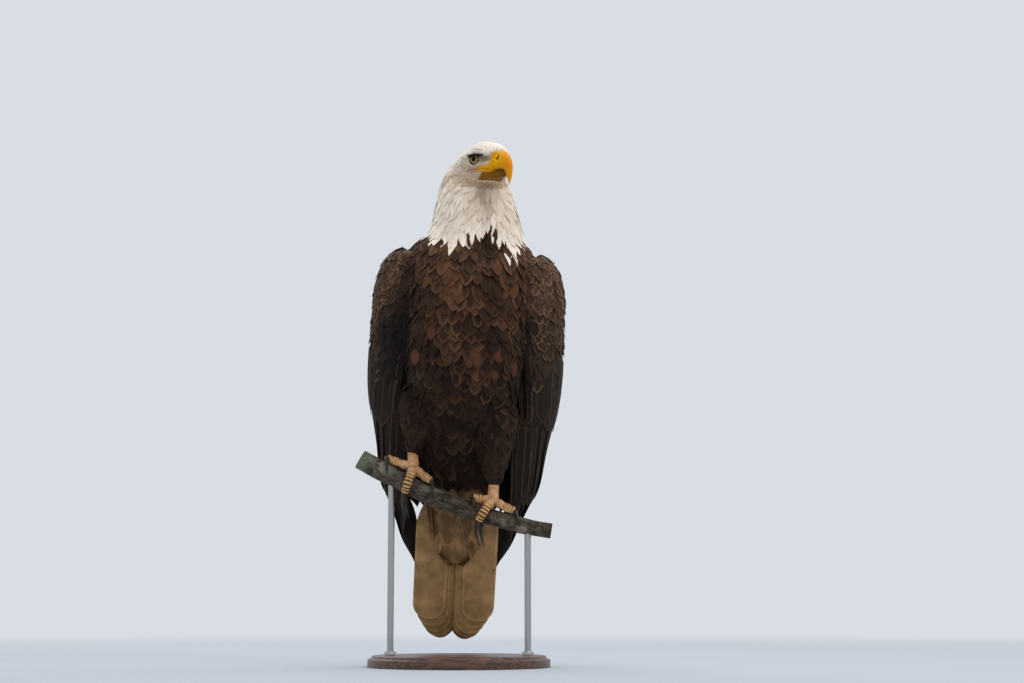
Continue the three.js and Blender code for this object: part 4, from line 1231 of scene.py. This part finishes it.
f, r, h = billRings(billPlan["lowerTop"], billPlan["lowerBottom"], billPlan["lowerHalves"], 60, 64, 2.5)
lowerBill = billPiece("bill_lower_horn", f, r, h)
addAttribute(lowerBill, "run", np.concatenate([np.repeat(np.linspace(0, 1, 60), 64), [0, 1]]))

# Gape: the fleshy yellow lips that run from the bill back under the eye, lying on cere and cheek.
def faceSide(f, h, sign):
    seated = intoHead(settle(onHead(f, sign * 40.0 + 0 * f, h))[0])[1]
    top, bottom = (np.interp(f, *np.array(billPlan[key]).T) for key in ("cereTop", "cereBottom"))
    half = np.interp(f, np.linspace(16, 51, 5), billPlan["cereHalves"])
    part = np.clip((h - (top + bottom) / 2) / (top - bottom) * 2, -1, 1)
    beside = half * (1 - part ** 2) ** (1 / 2.4) * (1 - billPlan["taper"] * (1 + part) / 2)
    return sign * np.where(f > 24, np.maximum(beside, 7.6 * (f > 40)), np.abs(seated))


gapePieces = []
lipPaths = (
    ([(47, -22.4), (38, -20.2), (28, -18.2), (18, -17.0), (9.6, -16.8), (2, -17.2), (-5, -18.0), (-12, -17.6),
      (-19, -17.2)], (0.6, 1.1, 1.4, 1.7, 1.7, 1.1, 0.6, 0.45, 0.3), 1.5),
    ([(46, -24.6), (37, -23.2), (28, -22.4), (18, -21.8), (9.6, -21.2), (2, -20.4), (-5, -19.6),
      (-11, -18.6)], (0.5, 1.0, 1.3, 1.6, 1.6, 1.0, 0.5, 0.3), 1.45))
for sign in (1, -1):
    for path, radii, tall in lipPaths:
        spine = smoothPath(path, 60)
        out = faceSide(spine[:, 0], spine[:, 1], sign)
        out = evened(out, 4) + sign * 0.5
        spine = onHead(spine[:, 0], out, spine[:, 1])
        gapePieces.append(closedTube("lip", limbRings(spine, radii, 20, (0, 0, 1), flat=tall)))
        fading = smoothStep(20, 6, smoothPath(path, 60)[:, 0]).repeat(20)
        addAttribute(gapePieces[-1], "fading", np.concatenate([fading, [0, 1]]))
gape = joined("gape_lips", gapePieces)
print("bill is made")

# Eyes: ball with a domed cornea, a rim of lid, and the bony brow over it, coloured near black as painted
# shadow.
eyePlan = {"iris": 0.72, "pupil": 0.34, "dome": 0.7, "lidOpen": 0.78,
           "brow": [(-12, 32.8, 3.6), (-8, 33.4, 3.8), (-3, 33.6, 4.0), (3, 32.2, 4.0), (9, 30.0, 3.6),
                    (15, 26.6, 2.9), (19, 23.8, 2.3), (22, 21.0, 1.8)]}
eyeballs, lids, brows = {}, [], []
for side, sign in (("right", 1), ("left", -1)):
    centre, gaze = eyes[side]
    first = unit(np.cross(gaze, headUp))
    second = np.cross(first, gaze)
    polar = np.linspace(0, np.pi, 66)[1:-1]
    angle = turns(72)
    ring = first[None] * np.cos(angle)[:, None] + second[None] * np.sin(angle)[:, None]
    radius = facePlan["eyeRadius"] + eyePlan["dome"] * np.exp(-(polar / 0.5) ** 2)
    ball = centre + radius[:, None, None] * (
        np.cos(polar)[:, None, None] * gaze + np.sin(polar)[:, None, None] * ring[None])
    eyeballs[side] = closedTube("eye_ball_" + side, ball)
    turned = np.concatenate([np.repeat(polar, 72), [0, np.pi]])
    addAttribute(eyeballs[side], "polar", turned)
    addAttribute(eyeballs[side], "spin", np.concatenate([np.tile(angle, 64), [0, 0]]))
    # Lid: a bead about the opening, flatter above, whose section is a loop of (polar, radius).
    upper = np.clip(second @ headUp * np.sin(angle), 0, 1)
    lower = np.clip(-second @ headUp * np.sin(angle), 0, 1)
    opening = eyePlan["lidOpen"] - 0.27 * upper ** 1.5 - 0.03 * lower
    profile = np.array([(0.00, -0.5), (-0.02, 0.5), (0.05, 1.15), (0.16, 1.25), (0.30, 0.9), (0.5, 0.9),
                        (0.75, 0.2), (0.8, -1.5), (0.4, -2.0), (0.1, -1.6)])
    loop = smoothPath(np.concatenate([profile, profile[:1]]), 33)[:-1]
    reach = opening[:, None] + loop[None, :, 0]
    out = facePlan["eyeRadius"] + loop[None, :, 1]
    outward = np.cos(reach)[..., None] * gaze + np.sin(reach)[..., None] * ring[:, None]
    lid = centre + out[..., None] * outward
    i, j = np.meshgrid(np.arange(72), np.arange(32), indexing="ij")
    corner = [(i, j), ((i + 1) % 72, j), ((i + 1) % 72, (j + 1) % 32), (i, (j + 1) % 32)]
    lids.append(makeMesh("lid_" + side, lid, np.stack([a * 32 + b for a, b in corner], -1)))
    # Dark at the lid's rim, and over the upper lid as painted shadow under the brow.
    rim = smoothStep(0.2, 0.1, loop[None, :, 0] + 0 * opening[:, None])
    dark = np.maximum(rim, smoothStep(0.15, 0.5, upper)[:, None])
    addAttribute(lids[-1], "dark", dark)
    spine = onHead(*smoothPath(np.array(eyePlan["brow"]) * (1, sign, 1), 60).T)
    brows.append(closedTube("brow_" + side, limbRings(
        spine, (0.4, 1.6, 2.5, 3.0, 3.0, 2.6, 1.8, 0.7), 24, (0, 0, 1), flat=0.8)))
lid = joined("eye_lids", lids)
brow = joined("brow_ridges", brows)
print("eyes are made")

# Feet: smooth toes joined as one, then plated with scutes.
skinFoot = {"voxel": 1.0, "scute": 4.6, "depth": 0.8, "weights": (0.45, 1.0, 0.45, 0.6)}
feet, clawPieces = {}, {}
for side, leg in legPlan.items():
    hip, knee, ankle, knuckle = legPoints(leg)
    toes = [(spread, wrap, footPlan["clawLength"]) for spread, wrap in zip(leg["spread"], leg["wrap"])]
    toes.append((leg["outward"] * footPlan["hindSpread"], footPlan["hindWrap"], footPlan["hindClaw"]))
    tubes, samples, clawTubes = [], [], []
    shank = smoothPath([ankle + (ankle - knuckle) * 0.4, ankle, (ankle + knuckle) / 2, knuckle], 40)
    tubes.append(closedTube("shank", limbRings(shank, (8.2, 7.8, 8.2, 9.2), 32, (0, 1, 0))))
    samples.append(shank)
    for order, (spread, wrap, length) in enumerate(toes):
        part = np.array([0, 0.3, 0.65, 1.0])
        toe = smoothPath([besidePerch(leg["foot"] + spread * p, wrap * p,
                                      footPlan["toeRadius"] + footPlan["knuckleLift"] * (1 - p) ** 2)
                          for p in part], 48)
        toeRun = np.linspace(0, 1, 48)
        # Pads swell under each joint, and the toe thins towards its claw.
        radii = footPlan["toeRadius"] * (1.06 - 0.16 * toeRun + 0.07 * np.cos(toeRun * 3 * 2 * np.pi))
        tubes.append(closedTube("toe", limbRings(toe, radii, 32, (0, 0, 1), endShare=0.1)))
        samples.append(toe)
        onward = unit(toe[-1] - toe[-2])
        if order in (0, 2):    # inner and outer claws hug the branch
            share = np.array([0, 0.5, 1.0])
            lift = footPlan["toeRadius"] + (footPlan["gripLift"] - footPlan["toeRadius"]) * share
            curve = smoothPath([besidePerch(
                leg["foot"] + spread + footPlan["gripSweep"] * p, wrap + footPlan["gripWrap"] * p, up)
                for p, up in zip(share, lift)], 42)
        else:
            bend = toe[-1] + onward * length * 0.4
            end = bend + unit(np.array([-onward[0] * 0.9, onward[1] * 0.12, -1])) * length * 0.72
            q = np.linspace(-0.06, 1, 42)[:, None]
            curve = toe[-1] * (1 - q) ** 2 + bend * 2 * q * (1 - q) + end * q ** 2
        tapered = footPlan["clawRadius"] * (1.02 - 0.92 * np.linspace(0, 1, 12) ** 1.25)
        clawTubes.append(closedTube("claw", limbRings(
            curve, tapered, 24, (1, 0, 0.01), endShare=0.06, flat=0.84)))
    foot = fused("foot_" + side, tubes, skinFoot["voxel"], 4)
    # Scutes: bands across the top of each toe, told by the nearest point of its path.
    points = readPoints(foot.data)
    spine = np.concatenate(samples)
    banded = np.concatenate([np.full(40, 0.12)] + [
        weight * smoothStep(0.3, 0.62, toeRun) + 0.08 for weight in skinFoot["weights"]])
    runs = np.concatenate([runAlong(s) + 0.7 * i
                           for i, s in enumerate(samples)])
    distance = np.linalg.norm(points[:, None] - spine[None], axis=2)
    nearest = distance.argmin(1)
    run = runs[nearest]
    outward = points - perchMiddle(points[:, 0])
    outward[:, 0] = 0
    facing = np.sum(unit(points - spine[nearest]) * unit(outward), 1)
    top = smoothStep(-0.1, 0.45, facing)
    top = np.where(nearest < 40, smoothStep(0.3, -0.3, unit(points - spine[nearest])[:, 1]), top)
    wave = 1 - (1 - np.abs(np.sin(run / skinFoot["scute"] * np.pi)) ** 0.4) * banded[nearest]
    normals = np.empty(len(points) * 3, np.float32)
    foot.data.vertices.foreach_get("normal", normals)
    normals = normals.reshape(-1, 3)
    points = points + normals * ((wave - 0.8) * top * skinFoot["depth"])[:, None]
    writePoints(foot.data, points)
    addAttribute(foot, "groove", (1 - wave) * top)
    addAttribute(foot, "outer", banded[nearest])
    feet[side] = foot
    clawPieces[side] = joined("claws_" + side, clawTubes)
print("feet are made")

# Perch: a cut length of living branch, with bark plates, knots and two sawn ends.
barkPlan = {"rows": 420, "columns": 150, "ridges": 0.75,
            "knots": ((-118, 1.0, 3.4), (18, 4.4, 2.6), (96, 2.2, 3.0))}    # along, round, height
x = np.linspace(perchPlan["left"], perchPlan["right"], barkPlan["rows"])
angle = turns(barkPlan["columns"])
centre = perchMiddle(x)
onward = unit(np.gradient(centre, axis=0))
up = np.stack([-onward[:, 2], 0 * x, onward[:, 0]], -1)
gridX, gridA = np.meshgrid(x, angle, indexing="ij")
lump = 1 + 0.04 * np.sin(3 * gridA + gridX / 23) + 0.03 * np.sin(gridX / 11)


# Bark relief: plates about 4 mm long and 2 mm round, as sums of sines pushed out of step by slower ones.
def barkRelief(x, a):
    sway = 1.2 * np.sin(x / 17 + 2 * a) + 0.8 * np.sin(x / 7.3 - 3 * a + 1)
    long = np.abs(np.sin(7 * a + sway + 0.4 * np.sin(x / 3.1)))
    cross = np.abs(np.sin(x / 4.3 + 1.7 * np.sin(4 * a + x / 29) + 0.8 * np.sin(9 * a)))
    fine = 0.25 * np.sin(x * 1.9 + 11 * a) * np.sin(23 * a - x * 0.7)
    return 0.55 * long ** 0.5 + 0.45 * cross ** 0.6 + fine - 0.8


relief = barkPlan["ridges"] * barkRelief(gridX, gridA)
for place, around, high in barkPlan["knots"]:
    near = ((gridX - place) / 6.5) ** 2 + (np.angle(np.exp(1j * (gridA - around))) / 0.45) ** 2
    relief = relief + high * np.exp(-near) - 0.75 * high * np.exp(-near * 6)
reach = (perchPlan["radius"] - perchPlan["taper"] * gridX) * lump - 0.35 + relief
bark = (centre[:, None] + up[:, None] * (reach * np.cos(gridA))[..., None]
        - np.array([0, 1, 0]) * (reach * np.sin(gridA))[..., None])
# Sawn ends: rings that shrink to the middle, slightly cupped.
inward = np.array([0.965, 0.93, 0.8, 0.6, 0.4, 0.2])
firstEnd = centre[0] + (bark[0][None] - centre[0]) * inward[::-1, None, None]
lastEnd = centre[-1] + (bark[-1][None] - centre[-1]) * inward[:, None, None]
rings = np.concatenate([firstEnd, bark, lastEnd])
perch = closedTube("perch_bark", rings)
isCut = np.concatenate([np.ones(6), np.zeros(barkPlan["rows"]), np.ones(6)])
toMiddle = np.concatenate([inward[::-1], np.ones(barkPlan["rows"]), inward])
high = np.concatenate([np.zeros((6, 150)), relief, np.zeros((6, 150))])
addAttribute(perch, "cut", np.concatenate([np.repeat(isCut, 150), [1, 1]]))
addAttribute(perch, "ring", np.concatenate([np.repeat(toMiddle, 150), [0, 0]]))
addAttribute(perch, "relief", np.concatenate([high.ravel(), [0, 0]]))

# Stand: a turned disc of walnut and two brushed steel rods.
# Profiles are (radius, height): the disc's edge, and the rod with its collar up to its top end.
standPlan = {
    "spacing": 104, "intoPerch": 8,
    "edge": [(138, 0.6), (138, 9), (137.2, 12), (133, 13.6), (131.5, 16.2), (129, 17.6), (124, 18)],
    "collar": [(4, 18.3), (9, 18.3), (9, 21.6), (8.2, 23.2), (5.6, 23.6), (5, 24.4)],
}


def turned(name, profile, middle, columns, sharp):
    radius, high, angle = profile[:, :1], profile[:, 1:], turns(columns)
    return closedTube(name, np.stack(np.broadcast_arrays(
        middle + radius * np.cos(angle), radius * np.sin(angle), high), -1), sharp=sharp)


profile = smoothPath(standPlan["edge"], 40)
profile = np.concatenate([[(40, 0), (120, 0), (137.2, 0)], profile, [(100, 18), (60, 18), (20, 18)]])
base = turned("stand_base_turned", profile, 0, 180, 40)
rods = {}
for side, sign in (("right", -1), ("left", 1)):
    middle = sign * standPlan["spacing"]
    top = perchMiddle(middle)[2] - standPlan["intoPerch"]
    profile = np.array([*standPlan["collar"], (5, top - 0.3), (4.7, top)])
    rods[side] = turned("stand_rod_steel_" + side, profile, middle, 48, 35)
print("perch and stand are made")


# Hard materials.
# Keratin of the bill: smooth horn with a soft glow, golden, paler at the tip, with faint growth lines.
def billHorn(name, roughness, stops):
    material, add, place = newMaterial(name)
    run = add("Attribute", attribute_name="run")["Fac"]
    cloud = add("TexNoise", {"Vector": place, "Scale": 90.0, "Detail": 4.0})["Fac"]
    moved = add("Math", (cloud, 0.16, run), operation="MULTIPLY_ADD")[0]
    shifted = add("Math", (moved, 0.08), operation="SUBTRACT")[0]
    tint = add("ValToRGB", {"Fac": shifted}, stops=stops)["Color"]
    lines = add("Math", (run, 150.0), operation="MULTIPLY")[0]
    wave = add("Math", (lines,), operation="SINE")[0]
    scratch = add("TexNoise", {"Vector": place, "Scale": 700.0, "Detail": 3.0})["Fac"]
    height = add("Math", (wave, 0.15, scratch), operation="MULTIPLY_ADD")[0]
    bump = add("Bump", {"Height": height, "Strength": 0.12, "Distance": 0.0003})[0]
    rough = add("MapRange", {"Value": scratch, "To Min": roughness - 0.06, "To Max": roughness + 0.08})
    return finishMaterial(material, add("BsdfPrincipled", {
        "Base Color": tint, "Roughness": rough[0], "Normal": bump, "IOR": 1.45,
        "Specular IOR Level": 0.15}))


# Bare skin: cere, gape, lids, brow: fine-grained and slightly waxy, darkened where the attribute says.
def bareSkin(name, light, deep, roughness, darkAttribute=None, darkColour=None):
    material, add, place = newMaterial(name)
    cloud = add("TexNoise", {"Vector": place, "Scale": 140.0, "Detail": 4.0})["Fac"]
    pores = add("TexVoronoi", {"Vector": place, "Scale": 650.0})["Distance"]
    tint = add("ValToRGB", {"Fac": cloud}, stops=[(0.3, deep), (0.7, light)])["Color"]
    if darkAttribute:
        dark = add("Attribute", attribute_name=darkAttribute)["Fac"]
        tint = add("Mix", {0: dark, 6: tint, 7: colour(darkColour)}, data_type="RGBA")[2]
    bump = add("Bump", {"Height": pores, "Strength": 0.25, "Distance": 0.0003})[0]
    return finishMaterial(material, add("BsdfPrincipled", {
        "Base Color": tint, "Roughness": roughness, "Normal": bump, "IOR": 1.4, "Specular IOR Level": 0.15}))


# Living eye: wet cornea over a pale streaked iris with a dark rim and a black pupil.
def wetEye():
    material, add, _ = newMaterial("wet eye")
    polar = add("Attribute", attribute_name="polar")["Fac"]
    spin = add("Attribute", attribute_name="spin")["Fac"]
    share = add("Math", (polar, np.pi), operation="DIVIDE")[0]
    pupil, iris = eyePlan["pupil"] / np.pi, eyePlan["iris"] / np.pi
    rings = add("ValToRGB", {"Fac": share}, stops=[
        (pupil - 0.004, "#020201"), (pupil + 0.008, "#5d5236"), (pupil + 0.03, "#b3a477"),
        (iris - 0.04, "#a8976b"), (iris - 0.01, "#6b5836"), (iris + 0.006, "#0f0a06")])["Color"]
    streak = add("Math", (spin, 34.0), operation="MULTIPLY")[0]
    wave = add("Math", (streak,), operation="SINE")[0]
    vary = add("MapRange", {"Value": wave, "From Min": -1.0, "To Min": 0.9, "To Max": 1.08})[0]
    tint = add("VectorMath", {0: rings, "Scale": vary}, operation="SCALE")[0]
    return finishMaterial(material, add("BsdfPrincipled", {
        "Base Color": tint, "Roughness": 0.4, "IOR": 1.38, "Specular IOR Level": 0.0, "Coat Weight": 0.35,
        "Coat Roughness": 0.03, "Coat IOR": 1.38}))


# Scaled foot skin: dry and satin, tan-yellow plates with brown in the grooves between them.
def scaledSkin():
    material, add, place = newMaterial("scaled foot skin")
    groove = add("Attribute", attribute_name="groove")["Fac"]
    cloud = add("TexNoise", {"Vector": place, "Scale": 160.0, "Detail": 4.0})["Fac"]
    cells = add("TexVoronoi", {"Vector": place, "Scale": 620.0}, feature="DISTANCE_TO_EDGE")[0]
    outer = add("Attribute", attribute_name="outer")["Fac"]
    plain = add("ValToRGB", {"Fac": cloud}, stops=[(0.3, "#b07d50"), (0.7, "#dba87e")])["Color"]
    plated = add("ValToRGB", {"Fac": cloud}, stops=[(0.3, "#cb934a"), (0.7, "#f0b974")])["Color"]
    tint = add("Mix", {0: outer, 6: plain, 7: plated}, data_type="RGBA")[2]
    deep = add("MapRange", {"Value": groove, "From Min": 0.04, "From Max": 0.3})[0]
    # Darker brown in the grooves between the plates.
    groovesDarkened = add("Mix", {0: deep, 6: tint, 7: colour("#3a2310")}, data_type="RGBA")[2]
    bump = add("Bump", {"Height": cells, "Strength": 0.5, "Distance": 0.0004})[0]
    return finishMaterial(material, add("BsdfPrincipled", {
        "Base Color": groovesDarkened, "Roughness": 0.5, "Normal": bump, "IOR": 1.48}))


# One grain, the same for tint, roughness and bump: noise of a scale and detail, stretched where it has to be.
def grained(name, stretch, noise, stops, roughness, bump, shader):
    material, add, place = newMaterial(name)
    if stretch:
        place = add("Mapping", {"Vector": place, "Scale": stretch})[0]
    grain = add("TexNoise", {"Vector": place, "Scale": noise[0], "Detail": noise[1]})["Fac"]
    tint = add("ValToRGB", {"Fac": grain}, stops=stops)["Color"]
    rough = add("MapRange", {"Value": grain, "To Min": roughness[0], "To Max": roughness[1]})[0]
    normal = add("Bump", {"Height": grain, "Strength": bump[0], "Distance": bump[1]})[0]
    return finishMaterial(material, add("BsdfPrincipled", {
        "Base Color": tint, "Roughness": rough, "Normal": normal, **shader}))


# Claw: dark horn, glossy from wear. Rod: steel brushed round its length, in fine rings that spread the light.
clawHorn = grained("polished claw horn", None, (300.0, 5.0), [(0.3, "#191310"), (0.75, "#453a30")],
                   (0.22, 0.42), (0.15, 0.0002), {"IOR": 1.45, "Specular IOR Level": 0.3})
brushedSteel = grained("brushed stainless steel", (30.0, 30.0, 2200.0), (1.0, 2.0),
                       [(0.0, "#9a9a9a"), (1.0, "#b8b8b6")], (0.24, 0.4), (0.1, 0.0001), {"Metallic": 1.0})


# Bark: rough grey-brown plates, dark in the cracks, with patches of grey-green lichen; sawn ends show rings.
def livingBark():
    material, add, place = newMaterial("rough bark with lichen")
    relief = add("Attribute", attribute_name="relief")["Fac"]
    cut = add("Attribute", attribute_name="cut")["Fac"]
    ring = add("Attribute", attribute_name="ring")["Fac"]
    cloud = add("TexNoise", {"Vector": place, "Scale": 55.0, "Detail": 6.0, "Roughness": 0.65})["Fac"]
    fine = add("TexNoise", {"Vector": place, "Scale": 420.0, "Detail": 6.0, "Roughness": 0.7})["Fac"]
    tone = add("Math", (relief, 0.35, cloud), operation="MULTIPLY_ADD")[0]
    tint = add("ValToRGB", {"Fac": tone}, stops=[
        (0.15, "#15100c"), (0.4, "#3b3129"), (0.58, "#5d5347"), (0.8, "#837a6c")])["Color"]
    patch = add("TexNoise", {"Vector": place, "Scale": 28.0, "Detail": 5.0})["Fac"]
    lichen = add("MapRange", {"Value": patch, "From Min": 0.55, "From Max": 0.66, "To Max": 0.75})[0]
    green = add("ValToRGB", {"Fac": fine}, stops=[(0.3, "#4d5240"), (0.7, "#8d9279")])["Color"]
    grown = add("Mix", {0: lichen, 6: tint, 7: green}, data_type="RGBA")[2]
    circles = add("Math", (ring, 55.0), operation="MULTIPLY")[0]
    wave = add("Math", (circles,), operation="SINE")[0]
    woodTone = add("MapRange", {"Value": wave, "From Min": -1.0})[0]
    wood = add("ValToRGB", {"Fac": woodTone}, stops=[(0.0, "#a88558"), (1.0, "#c9a877")])["Color"]
    whole = add("Mix", {0: cut, 6: grown, 7: wood}, data_type="RGBA")[2]
    bump = add("Bump", {"Height": fine, "Strength": 0.6, "Distance": 0.0008})[0]
    return finishMaterial(material, add("BsdfPrincipled", {
        "Base Color": whole, "Roughness": 0.9, "Normal": bump, "Specular IOR Level": 0.2}))


# Walnut, turned and oiled: straight grain with growth bands about 3 mm wide, satin.
def turnedWalnut():
    material, add, place = newMaterial("turned walnut, oiled")
    stretched = add("Mapping", {"Vector": place, "Scale": (1.0, 9.0, 9.0), "Rotation": (0, 0, 0.2)})[0]
    sway = add("TexNoise", {"Vector": stretched, "Scale": 9.0, "Detail": 5.0})["Fac"]
    bands = add("Math", (sway, 46.0), operation="MULTIPLY")[0]
    wave = add("Math", (bands,), operation="SINE")[0]
    tone = add("MapRange", {"Value": wave, "From Min": -1.0})[0]
    tint = add("ValToRGB", {"Fac": tone}, stops=[(0.0, "#3a2418"), (1.0, "#6a4630")])["Color"]
    pores = add("TexNoise", {"Vector": stretched, "Scale": 130.0, "Detail": 3.0})["Fac"]
    bump = add("Bump", {"Height": pores, "Strength": 0.15, "Distance": 0.0004})[0]
    return finishMaterial(material, add("BsdfPrincipled", {
        "Base Color": tint, "Roughness": 0.42, "Normal": bump, "IOR": 1.5, "Coat Weight": 0.15,
        "Coat Roughness": 0.25}))


wingRowPieces = {row: [wingPieces[row, side] for side in ("right", "left")] for row in wingPlan}
for pieces, material in (
        ([skin], coatedSkin()), ([coatHead, coatNeck], whiteVane), ([coatVent, tail], tailVane),
        ([coatBody, coatCollar, *coatThighs], brownVane), (wingRowPieces["primaries"], flightVane),
        ([coatScapular, *coatCoverts], wingVane), (wingRowPieces["secondaries"], wingVane),
        (wingRowPieces["greater_coverts"], wingVane),
        ([upperBill], billHorn("bill keratin, golden", 0.46, [
            (0.0, "#eba600"), (0.2, "#e39400"), (0.5, "#db8400"), (0.8, "#de9604"), (0.95, "#e2b24e")])),
        # The lower bill is painted dark brown as painted shade under the bill.
        ([lowerBill], billHorn("bill keratin, lower, painted shade", 0.45, [
            (0.0, "#b8780c"), (0.4, "#8a560a"), (1.0, "#6e4408")])),
        ([cere], bareSkin("waxy cere skin", "#f0b000", "#e29c00", 0.5, "dark", "#4a1a04")),
        ([gape], bareSkin("fleshy gape skin", "#dfa015", "#c4820c", 0.5, "fading", "#b99272")),
        ([lid], bareSkin("lid skin, painted brow shadow", "#cdbfa8", "#a3937d", 0.5, "dark", "#1a120c")),
        ([brow], bareSkin("brow skin, painted shadow", "#33251a", "#19110b", 0.7)),
        (eyeballs.values(), wetEye()), (feet.values(), scaledSkin()), (clawPieces.values(), clawHorn),
        ([perch], livingBark()), ([base], turnedWalnut()), (rods.values(), brushedSteel)):
    for piece in pieces:
        piece.data.materials.append(material)

# What each piece rides on, stands for, and the name of its finish.
toeNames = ("inner", "middle", "outer", "hind")
standsFor = [
    (skin, "white_feather", ["head", "neck", "trunk", "tail_coverts", "thigh_right", "thigh_left"]),
    (coatHead, "white_feather", ["head"]), (coatNeck, "white_feather", ["neck"]),
    (coatBody, "brown_feather", ["trunk"]), (coatCollar, "brown_feather", ["trunk"]),
    (coatScapular, "brown_feather", ["trunk"]),
    (coatVent, "tail_feather", ["tail_coverts"]), (tail, "tail_feather", ["tail"]),
    (upperBill, "bill_horn", ["bill_upper"]), (lowerBill, "bill_horn", ["bill_lower"]),
    (cere, "cere_skin", ["bill_cere"]), (gape, "cere_skin", []), (lid, "cere_skin", []),
    (brow, "cere_skin", []), (perch, "bark", ["perch"]), (base, "base_wood", ["stand_base"]),
]
for side, thigh, covert in zip(("right", "left"), coatThighs, coatCoverts):
    standsFor += [
        (thigh, "brown_feather", ["thigh_" + side]),
        (covert, "wing_feather", [f"wing_{side}_coverts"]),
        (wingPieces["greater_coverts", side], "wing_feather", [f"wing_{side}_coverts"]),
        (wingPieces["secondaries", side], "wing_feather", [f"wing_{side}_secondaries"]),
        (wingPieces["primaries", side], "primary_feather", [f"wing_{side}_primaries"]),
        (eyeballs[side], "eye", ["eye_" + side]),
        (feet[side], "foot_skin", ["shank_" + side] + [f"toe_{side}_{toe}" for toe in toeNames]),
        (clawPieces[side], "claw_horn", [f"claw_{side}_{toe}" for toe in toeNames]),
        (rods[side], "rod_steel", ["stand_rod_" + side]),
    ]
for piece, slot, nodes in standsFor:
    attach(piece, "root")
    if nodes:
        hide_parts(*nodes)
print("pieces ride on the frame")

# Floor, light and camera.
stagePlan = {"radius": 14.0, "near": 0.9, "far": 3.4, "floor": "#c6ccd2", "sky": "#d9dee4"}
bowlR = np.concatenate([[0.05], np.linspace(0.4, 4, 19), [stagePlan["radius"]]])
angle = turns(128)
across = bowlR[:, None]
disc = np.stack([across * np.cos(angle), across * np.sin(angle), 0 * across + 0 * angle], -1)
quads, tris = ringFaces(len(bowlR), 128)
tris = tris[(tris <= len(bowlR) * 128).all(1)]
floor = makeMesh("studio_floor", np.concatenate([disc.reshape(-1, 3) * 1000, [[0, 0, 0]]]), quads, tris)
if floor.data.polygons[0].normal.z < 0:
    floor.data.flip_normals()
addAttribute(floor, "far", np.concatenate([
    smoothStep(stagePlan["near"], stagePlan["far"], bowlR).repeat(128), [0]]))
# The floor is matt paint near the stand and fades outwards into the lit backdrop, so that no horizon shows.
material, add, place = newMaterial("matt studio floor fading into its backdrop")
mottle = add("TexNoise", {"Vector": place, "Scale": 3.0, "Detail": 3.0})["Fac"]
tint = add("ValToRGB", {"Fac": mottle}, stops=[(0.3, "#c3c9cf"), (0.7, stagePlan["floor"])])
far = add("Attribute", attribute_name="far")["Fac"]
paint = add("BsdfPrincipled", {"Base Color": tint["Color"], "Roughness": 0.9,
                                               "Specular IOR Level": 0.1})
glow = add("Emission", {"Color": colour(stagePlan["sky"]), "Strength": 1.0})
finishMaterial(material, add("MixShader", (far, paint[0], glow[0])))
floor.data.materials.append(material)

world = bpy.data.worlds.new("studio")
world.use_nodes = True
world.node_tree.nodes["Background"].inputs["Color"].default_value = colour(stagePlan["sky"])
world.node_tree.nodes["Background"].inputs["Strength"].default_value = 1.0
bpy.context.scene.world = world

lightsLookAt = (0, 0, 0.5)
lightPlan = {
    "overhead": {"at": (0.3, 0.1, 2.6), "size": 2.0, "power": 20, "tint": "#ffffff"},
    "key": {"at": (1.7, -1.5, 2.1), "size": 1.2, "power": 10, "tint": "#fff6ea"},
    "back": {"at": (-1.0, 1.8, 2.0), "size": 1.4, "power": 8, "tint": "#f7f8ff"},
}
for name, plan in lightPlan.items():
    lamp = bpy.data.lights.new(name, "AREA")
    lamp.shape, lamp.size, lamp.energy = "SQUARE", plan["size"], plan["power"]
    lamp.color = linear(plan["tint"])
    light = bpy.data.objects.new(name, lamp)
    light.location = plan["at"]
    aim = Vector(lightsLookAt) - light.location
    light.rotation_euler = aim.to_track_quat("-Z", "Y").to_euler()
    bpy.context.scene.collection.objects.link(light)

cameraPlan = {"target": (0.080, 0.0, 0.496), "distance": 2.9, "rise": -8.0, "frameHeight": 1.0552}
lens = bpy.data.cameras.new("camera")
lens.sensor_fit = "VERTICAL"
lens.angle_y = 2 * np.arctan(cameraPlan["frameHeight"] / 2 / cameraPlan["distance"])
lens.clip_end = 50
camera = bpy.data.objects.new("camera", lens)
rise = np.radians(cameraPlan["rise"])
target = Vector(cameraPlan["target"])
camera.location = target + Vector((0, -np.cos(rise), np.sin(rise))) * cameraPlan["distance"]
camera.rotation_euler = (target - camera.location).to_track_quat("-Z", "Y").to_euler()
bpy.context.scene.collection.objects.link(camera)
bpy.context.scene.camera = camera
bpy.context.scene.view_settings.view_transform = "Standard"
print("studio is set")
